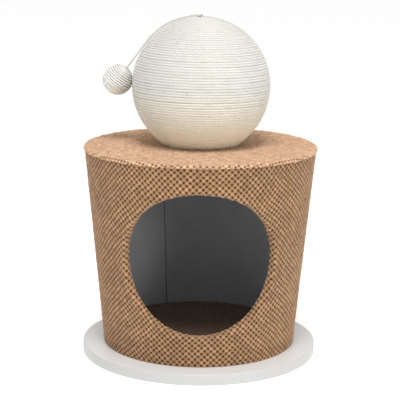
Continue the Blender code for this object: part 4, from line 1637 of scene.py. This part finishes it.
    def swollen_crown(self, radius: float, low: float) -> Callable[[Array], Array]:
        """Swell a plain pad by cloth simulation, and return the crown that its top gets.

        Args:
            radius: The pad's radius.
            low: Height of its underside.

        Returns:
            A function that takes points and returns the crown over them, from 0 at the rim to 1.
        """
        bpy.ops.mesh.primitive_cylinder_add(vertices=96, radius=radius, depth=self.mat_side,
                                            location=(0.0, 0.0, low + self.mat_side / 2))
        pad = added("swelling_pad")
        settle()
        finish_with(pad, "REMESH", mode="VOXEL", voxel_size=self.mat_voxel)
        before = places(pad.data)
        make_active(pad)
        cloth = pad.modifiers.new("swelling", "CLOTH")
        cloth.settings.use_pressure = True
        cloth.settings.uniform_pressure_force = self.mat_pressure
        cloth.settings.effector_weights.gravity = 0.0
        for frame in range(1, self.mat_frames + 1):
            bpy.context.scene.frame_set(frame)
        bpy.ops.object.modifier_apply(modifier=cloth.name)
        bpy.context.scene.frame_set(1)
        moved = places(pad.data) - before
        length = np.maximum(np.linalg.norm(moved, axis=1)[:, None], MERGE)
        move_to(pad.data, before + moved * np.minimum(1.0, self.mat_swell_cap / length))
        top = BVHTree.FromObject(pad, bpy.context.evaluated_depsgraph_get())
        bpy.data.objects.remove(pad)
        down = Vector((0.0, 0.0, -1.0))
        middle = top.ray_cast(-down, down)[0].z
        rim = low + self.mat_side
        LOG.info("floor_pad: swollen by %.1f mm", 1000 * (middle - rim))

        def crown(flat: Array) -> Array:
            """Return the simulated crown over some points."""
            hits = [top.ray_cast(Vector((x, y, 1.0)), down)[0] for x, y in flat[:, :2]]
            heights = np.array([rim if hit is None else hit.z for hit in hits])
            return np.clip((heights - rim) / (middle - rim), 0.0, 1.0)

        return crown

    def build_mat(self) -> None:
        """Model the loose mat on the cave's floor."""
        low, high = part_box("floor_mat")
        half = self.mat_side / 2
        start = high.x - half
        folds = (Fold.round(half, 180, self.mat_weave.height / 2), Fold(self.mat_turned_under))
        crown = self.swollen_crown(start, low.z)

        def crowned(flat: Array) -> Array:
            """Return the height of the mat's top, with its soft waves, fading out at the rim."""
            distance = np.hypot(flat[:, 0], flat[:, 1])
            wave = (self.mat_wave * np.sin(flat[:, 0] * 55.0 + 1.3)
                    * np.sin(flat[:, 1] * 47.0 + 0.4))
            inner = np.clip((start - distance) / self.mat_wave_fade, 0.0, 1.0)
            raised = self.mat_crown * crown(flat) * inner
            return low.z + self.mat_side + np.where(
                distance < start, raised - self.mat_wave + wave * inner, -self.mat_wave)

        mat = self.round_sheet("floor_pad", self.mat_weave, start, folds, None, crowned)
        points = places(mat.data)
        points[:, 2] = np.maximum(points[:, 2], low.z)
        move_to(mat.data, points)
        with editing(mat, "EDGE"):
            bpy.ops.mesh.select_all(action="DESELECT")
            bpy.ops.mesh.select_non_manifold()
            bpy.ops.mesh.edge_face_add()
        weld(mat)
        dress(mat, Finish.MAT)
        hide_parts("floor_mat")
        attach(mat, "root")

    def build(self) -> None:
        """Model and dress the cave's soft pieces."""
        self.build_cover()
        self.build_lid()
        self.build_lining()
        self.build_ceiling()
        self.build_mat()


@dataclass
class ScratchingBall:
    """The hollow ball wound with sisal rope."""

    radius: float = 0.116
    rope: Lay = field(default_factory=lambda: Lay(radius=0.0029, groove=0.20))
    pitch: float = 0.0044
    plumpness: float = 0.07         # share by which the rope is thinner in places along its length
    points_to_a_turn: int = 240
    meander: float = 0.00028        # of the rope, up and down
    bulge: float = 0.0012           # share of the radius by which turns stand out or lie in
    knot_room: float = 0.0042       # from the axis to the rope's first turn
    foot_fibres: int = 900
    foot_rise: float = 0.0015       # of the lowest fibres above the foot
    foot_band: float = 0.16         # height of the foot's fibres, in radians round the ball
    stray_fibres: int = 420
    stray_top: float = 0.52         # of the highest stray fibre above the middle, in radii
    stray_drop: float = 1.36        # from there to the lowest
    stray_length: float = 0.9       # of a stray fibre, over one at the foot
    fibre_radius: float = 0.00016
    fibre_length: float = 0.004     # of the shortest fibre
    fibre_extra: float = 0.006      # by which the longest is longer
    fibre_root: float = 0.0006      # its depth in the rope
    fibre_taper: float = 0.7        # share of the radius that it loses to its end
    fibre_steps: int = 4

    def __post_init__(self) -> None:
        """Take the ball's middle from the frame: its shells meet the rope all round."""
        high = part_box("ball_shell_upper")[1]
        self.centre = high.z - high.x
        self.foot_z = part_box("lid_cover")[1].z + CLEARANCE
        self.line_radius = self.radius - self.rope.radius

    def rope_line(self) -> Array:
        """Return the rope's line from the knot to the foot, a little uneven as wound by hand."""
        first = math.asin((self.rope.radius + self.knot_room) / self.line_radius)
        last = math.acos((self.foot_z + self.rope.radius - self.centre) / self.line_radius)
        line = winding(self.line_radius, first, last, self.pitch, self.points_to_a_turn)
        turn = np.arange(len(line)) / self.points_to_a_turn
        drift = np.sin(turn * 2.9 + 0.7 * np.sin(turn * 0.37)) + 0.6 * np.sin(turn * 11.3 + 1.0)
        share = np.clip(1.0 - np.abs(line[:, 2]) / self.line_radius, 0.0, 1.0)
        line[:, 2] += self.meander * drift * share
        line *= (1.0 + self.bulge * np.sin(turn * 7.7) * np.sin(turn * 1.9))[:, None]
        line[:, 2] += self.centre
        return line

    def build(self) -> None:
        """Model and dress the winding and the fibres that stand out of it."""
        line = evenly(self.rope_line(), self.rope.step)
        walked = self.rope.step * np.arange(len(line))
        waves = np.sin(walked * 167.0 + 2.2 * np.sin(walked * 31.0)) * np.sin(walked * 73.0)
        swell = 1.0 - self.plumpness * (0.5 + 0.5 * waves)
        half = int(np.searchsorted(-line[:, 2], -self.centre))
        halves = (("rope_upper", line[:half + 1], swell[:half + 1]),
                  ("rope_lower", line[half:], swell[half:]))
        for name, part, thickness in halves:
            rope = self.rope.sweep(name, part, thickness)
            dress(rope, Finish.SISAL)
            if name == "rope_upper":
                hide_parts("ball_rope")
            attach(rope, "root")
        self.build_fibres()

    def fibre(self, number: int) -> Iterator[Vector]:
        """Make one loose fibre, which runs along the rope and bends away from it.

        Args:
            number: Which fibre; the first ones stand at the ball's foot.

        Yields:
            Its points, from its root to its end.
        """
        key = np.array([number])
        round_it, chance, longer, sway, lean = (
            float(scatter(key, seed=seed)[0]) for seed in range(3, 8))
        turned = FULL_TURN * round_it
        length = self.fibre_length + self.fibre_extra * longer
        if number < self.foot_fibres:
            lowest = math.acos((self.foot_z + self.foot_rise - self.centre) / self.radius)
            polar = lowest - self.foot_band * chance ** 2
        else:
            polar = math.acos(self.stray_top - self.stray_drop * chance)
            length *= self.stray_length
        out = Vector((math.sin(polar) * math.cos(turned), math.sin(polar) * math.sin(turned),
                      math.cos(polar)))
        along = Vector((-math.sin(turned), math.cos(turned), 0.0))
        side = along.cross(out)
        lean -= 0.5
        root = Vector((0.0, 0.0, self.centre)) + out * (self.radius - self.fibre_root)
        for step in range(self.fibre_steps + 1):
            share = step / self.fibre_steps
            yield (root + along * length * share * (1.0 if sway > 0.5 else -1.0)
                   + out * length * (0.42 + 0.3 * lean) * share * (1.3 - 0.55 * share)
                   + side * length * 0.7 * lean * share ** 2)

    def build_fibres(self) -> None:
        """Model the loose fibres, most of them at the ball's foot."""
        curve = bpy.data.curves.new("sisal_fibres", "CURVE")
        curve.dimensions = "3D"
        curve.bevel_depth = self.fibre_radius
        curve.bevel_resolution = 0
        for number in range(self.foot_fibres + self.stray_fibres):
            spline = curve.splines.new("POLY")
            spline.points.add(self.fibre_steps)
            for step, point in enumerate(self.fibre(number)):
                spline.points[step].co = (*point, 1.0)
                spline.points[step].radius = 1.0 - self.fibre_taper * (step / self.fibre_steps)
        fibres = mesh_from("sisal_fibres", curve)
        points = places(fibres.data)
        points[:, 2] = np.maximum(points[:, 2], self.foot_z - 0.0004)
        move_to(fibres.data, points)
        set_values(fibres.data, "rope_place", points)
        set_values(fibres.data, "rope_crest", np.ones(len(points)))
        shade_smooth(fibres)
        dress(fibres, Finish.SISAL)
        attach(fibres, "root")


@dataclass
class HangingToy:
    """The small wound ball on its cord, and the knot that holds the cord at the big ball's top."""

    ball_radius: float = 0.116
    toy_radius: float = 0.026
    toy_rope: Lay = field(
        default_factory=lambda: Lay(radius=0.00172, pitch=0.014, groove=0.10, step=0.0018))
    toy_pitch: float = 0.0039
    toy_steps: int = 120            # points to a turn
    toy_end: float = 0.02           # angle from the pole where the winding ends
    toy_bulge: float = 0.006        # share of the radius by which turns stand out or lie in
    cord: Lay = field(
        default_factory=lambda: Lay(radius=0.002, pitch=0.0105, groove=0.16, step=0.0012))
    knot_cord: Lay = field(
        default_factory=lambda: Lay(radius=0.0019, pitch=0.0105, groove=0.16, step=0.0011))
    knot_radius: float = 0.0065
    knot_loop: float = 0.0044       # radius of the knot's loop
    knot_rise: float = 0.0016       # height of the knot over which its lean grows
    knot_lean: float = 0.0036       # of the knot's loops towards the toy
    leaves_at: float = 53.6         # degrees from the ball's top, where the cord leaves the rope
    settles_in: float = 12.0        # degrees from the knot, where the cord comes down onto the rope
    bore: float = 0.0155            # how far the cord goes into the toy
    bends_before: float = 0.001     # length of cord before the swing's axis
    bends_after: float = 0.014      # and after it

    def __post_init__(self) -> None:
        """Take the joints' places from the frame."""
        joints = {joint["name"]: joint for joint in FRAME["joints"]}
        self.pivot = Vector(joints["toy_swing"]["pos_m"])
        self.toy_centre = Vector(joints["toy_twist"]["pos_m"])
        self.knot_z = joints["cord_swivel"]["pos_m"][2]
        self.line_radius = self.ball_radius + CLEARANCE + self.cord.radius
        leaving = math.radians(self.leaves_at)
        self.ball_z = self.pivot.z - self.line_radius * math.cos(leaving)
        self.fall = (self.toy_centre - self.pivot).normalized()
        self.away = Vector((self.pivot.x, self.pivot.y, 0.0)).normalized()

    def cord_line(self) -> Array:
        """Return the cord's line, from the knot over the ball and down into the toy."""
        first = math.asin((self.knot_radius - self.cord.radius) / self.line_radius)
        last = math.radians(self.leaves_at)
        coming_down = math.radians(self.settles_in)
        start_lift = self.knot_z - self.ball_z - self.line_radius * math.cos(first)
        points = []
        for angle in np.linspace(first, last, 60):
            left = max(0.0, 1.0 - (angle - first) / coming_down)
            radius = self.line_radius + start_lift * left ** 2
            flat = self.away * radius * math.sin(angle)
            points.append((flat.x, flat.y, self.ball_z + radius * math.cos(angle)))
        reach = (self.toy_centre - self.pivot).length - self.toy_radius + self.bore
        for share in np.linspace(0.0, 1.0, 40)[1:]:
            points.append(tuple(self.pivot + self.fall * reach * share))
        return np.array(points)

    def build_cord(self) -> None:
        """Model the cord as one piece, which turns down at the swing's axis into the toy."""
        line = evenly(self.cord_line(), self.cord.step)
        cord = self.cord.sweep("toy_cord", line)
        dress(cord, Finish.CORD)
        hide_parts("toy_cord_over", "toy_cord_free")
        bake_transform(cord)
        length = float(walked_to(line)[-1])
        LOG.info("toy_cord: %.3f m long", length)

    def build_knot(self) -> None:
        """Model the knot on the ball's top, with the cord's tail down through the ball's shell."""
        under = self.ball_z + self.ball_radius + CLEARANCE
        aside = Vector((-self.away.y, self.away.x, 0.0))
        points = [(0.0, 0.0, -0.0125), (0.0, 0.0, -0.008), (0.0, 0.0, -0.003),
                  (0.0003, 0.0, 0.0004), (0.0022, 0.0004, 0.0016)]
        for degrees in range(10, 331, 20):
            angle = math.radians(degrees)
            points.append((self.knot_loop * math.cos(angle), self.knot_loop * math.sin(angle),
                           self.knot_cord.radius + 0.0008 * degrees / 330))
        points += [(0.0030, -0.0004, 0.0033), (0.0, 0.0004, 0.0036), (-0.0026, 0.0002, 0.0033),
                   (-0.0046, 0.0, 0.0026)]
        shape = np.array(points)
        lean = self.knot_lean * np.clip(shape[:, 2:3] / self.knot_rise, 0.0, 1.0)
        turned = -shape[:, 0:1] * np.array(self.away) - shape[:, 1:2] * np.array(aside)
        rough = turned + lean * np.array(self.away) + shape[:, 2:3] * np.array([0.0, 0.0, 1.0])
        rough[:, 2] += under
        line = evenly(smooth_line(rough, steps=10), self.knot_cord.step)
        knot = self.knot_cord.sweep("cord_loops", line)
        dress(knot, Finish.CORD)
        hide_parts("cord_knot", "cord_stopper")
        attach(knot, "cord_over")

    def build_toy(self) -> None:
        """Model the toy's winding about the cord's line."""
        line_radius = self.toy_radius - self.toy_rope.radius
        first = math.asin((self.cord.radius + self.toy_rope.radius) / line_radius)
        line = winding(line_radius, first, math.pi - self.toy_end, self.toy_pitch, self.toy_steps)
        turn = np.arange(len(line)) / self.toy_steps
        line *= (1.0 + self.toy_bulge * np.sin(turn * 3.1))[:, None]
        tilt = Vector((0.0, 0.0, 1.0)).rotation_difference(-self.fall).to_matrix()
        line = line @ np.array(tilt).T + np.array(self.toy_centre)
        toy = self.toy_rope.sweep("toy_winding", evenly(line, self.toy_rope.step))
        dress(toy, Finish.TOY_ROPE)
        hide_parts("toy_rope")
        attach(toy, "toy")

    def build(self) -> None:
        """Model and dress the cord, the knot and the toy."""
        self.build_cord()
        self.build_knot()
        self.build_toy()


@dataclass
class HiddenParts:
    """The boards, shells and fasteners that the frame holds and that keep their own shapes."""

    finishes: dict[Finish, tuple[str, ...]] = field(default_factory=lambda: {
        Finish.RAW_BOARD: ("floor_board", "lid_board", "ball_foot_disc"),
        Finish.BENT_BOARD: ("cave_wall",),
        Finish.CORE: ("ball_shell_lower", "ball_shell_upper", "toy_core"),
        Finish.STEEL: ("ball_bolt", "bolt_washer", "threaded_insert", "base_screw", "floor_nail",
                       "lid_nail"),
    })

    def dress(self) -> None:
        """Give every node that stays its procedural material."""
        for finish, names in self.finishes.items():
            for node_name, node in FRAME["nodes"].items():
                if node_name.startswith(names):
                    paint(node, finish)
                    LOG.info("%s: %s", node_name, finish.value.name)


# ---------------------------------------------------------------- studio


@dataclass(frozen=True)
class Lamp:
    """A soft square lamp.

    Attributes:
        name: The lamp's name.
        place: Where it hangs.
        target: Where it points.
        size: Its side.
        watts: Its power.
    """

    name: str
    place: tuple[float, float, float]
    target: tuple[float, float, float]
    size: float
    watts: float

    def add(self) -> None:
        """Add the lamp to the scene."""
        data = bpy.data.lights.new(self.name, "AREA")
        data.size = self.size
        data.energy = self.watts
        lamp = bpy.data.objects.new(self.name, data)
        lamp.location = self.place
        aim = Vector(self.target) - Vector(self.place)
        lamp.rotation_euler = aim.to_track_quat("-Z", "Y").to_euler()
        bpy.context.scene.collection.objects.link(lamp)


@dataclass(frozen=True)
class Studio:
    """The pale floor, the soft lights and the camera."""

    lens: float = 119.97
    sensor: float = 36.0
    camera_place: tuple[float, float, float] = (0.0, -2.2218, 0.7312)
    camera_down: float = 11.943
    camera_roll: float = 0.596
    floor_size: float = 80.0
    floor: StudioFloorFinish = StudioFloorFinish("studio_floor", (0.92, 0.92, 0.92), 0.32)
    sky: Colour = (1.0, 1.0, 1.0)
    sky_strength: float = 0.72
    lamps: tuple[Lamp, ...] = (
        Lamp("lamp_above", (0.0, -1.10, 2.25), (0.0, 0.0, 0.3), size=0.8, watts=35.5),
        Lamp("lamp_front_right", (1.7, -2.3, 0.5), (0.0, 0.0, 0.25), size=0.7, watts=18.0),
        Lamp("lamp_front_left", (-1.7, -2.3, 0.4), (0.0, 0.0, 0.25), size=0.7, watts=4.0))

    def build(self) -> None:
        """Set the camera, the floor, the sky and the lamps."""
        self.set_camera()
        bpy.ops.mesh.primitive_plane_add(size=self.floor_size, location=(0.0, 0.0, -CLEARANCE))
        floor = added("floor")
        settle()
        floor.data.materials.append(self.floor.build())
        world = bpy.data.worlds.new("sky")
        world.use_nodes = True
        background = world.node_tree.nodes["Background"]
        background.inputs["Color"].default_value = (*self.sky, 1.0)
        background.inputs["Strength"].default_value = self.sky_strength
        bpy.context.scene.world = world
        for lamp in self.lamps:
            lamp.add()
        bpy.context.scene.view_settings.view_transform = "Standard"

    def set_camera(self) -> None:
        """Set the camera where the photograph was taken from."""
        data = bpy.data.cameras.new("camera")
        data.lens = self.lens
        data.sensor_width = self.sensor
        camera = bpy.data.objects.new("camera", data)
        bpy.context.scene.collection.objects.link(camera)
        turn = Euler((math.radians(90.0 - self.camera_down), 0.0, 0.0)).to_matrix().to_4x4()
        roll = Matrix.Rotation(math.radians(self.camera_roll), 4, "Z")
        camera.matrix_world = Matrix.Translation(self.camera_place) @ turn @ roll
        bpy.context.scene.camera = camera


def main() -> None:
    """Build and dress every sub-assembly."""
    logging.basicConfig(level=logging.INFO, format="%(message)s")
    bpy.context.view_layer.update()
    deselect_all()
    Studio().build()
    HangingToy().build()
    ScratchingBall().build()
    BaseBoard().build()
    Cave().build()
    HiddenParts().dress()


if __name__ == "__main__":
    main()
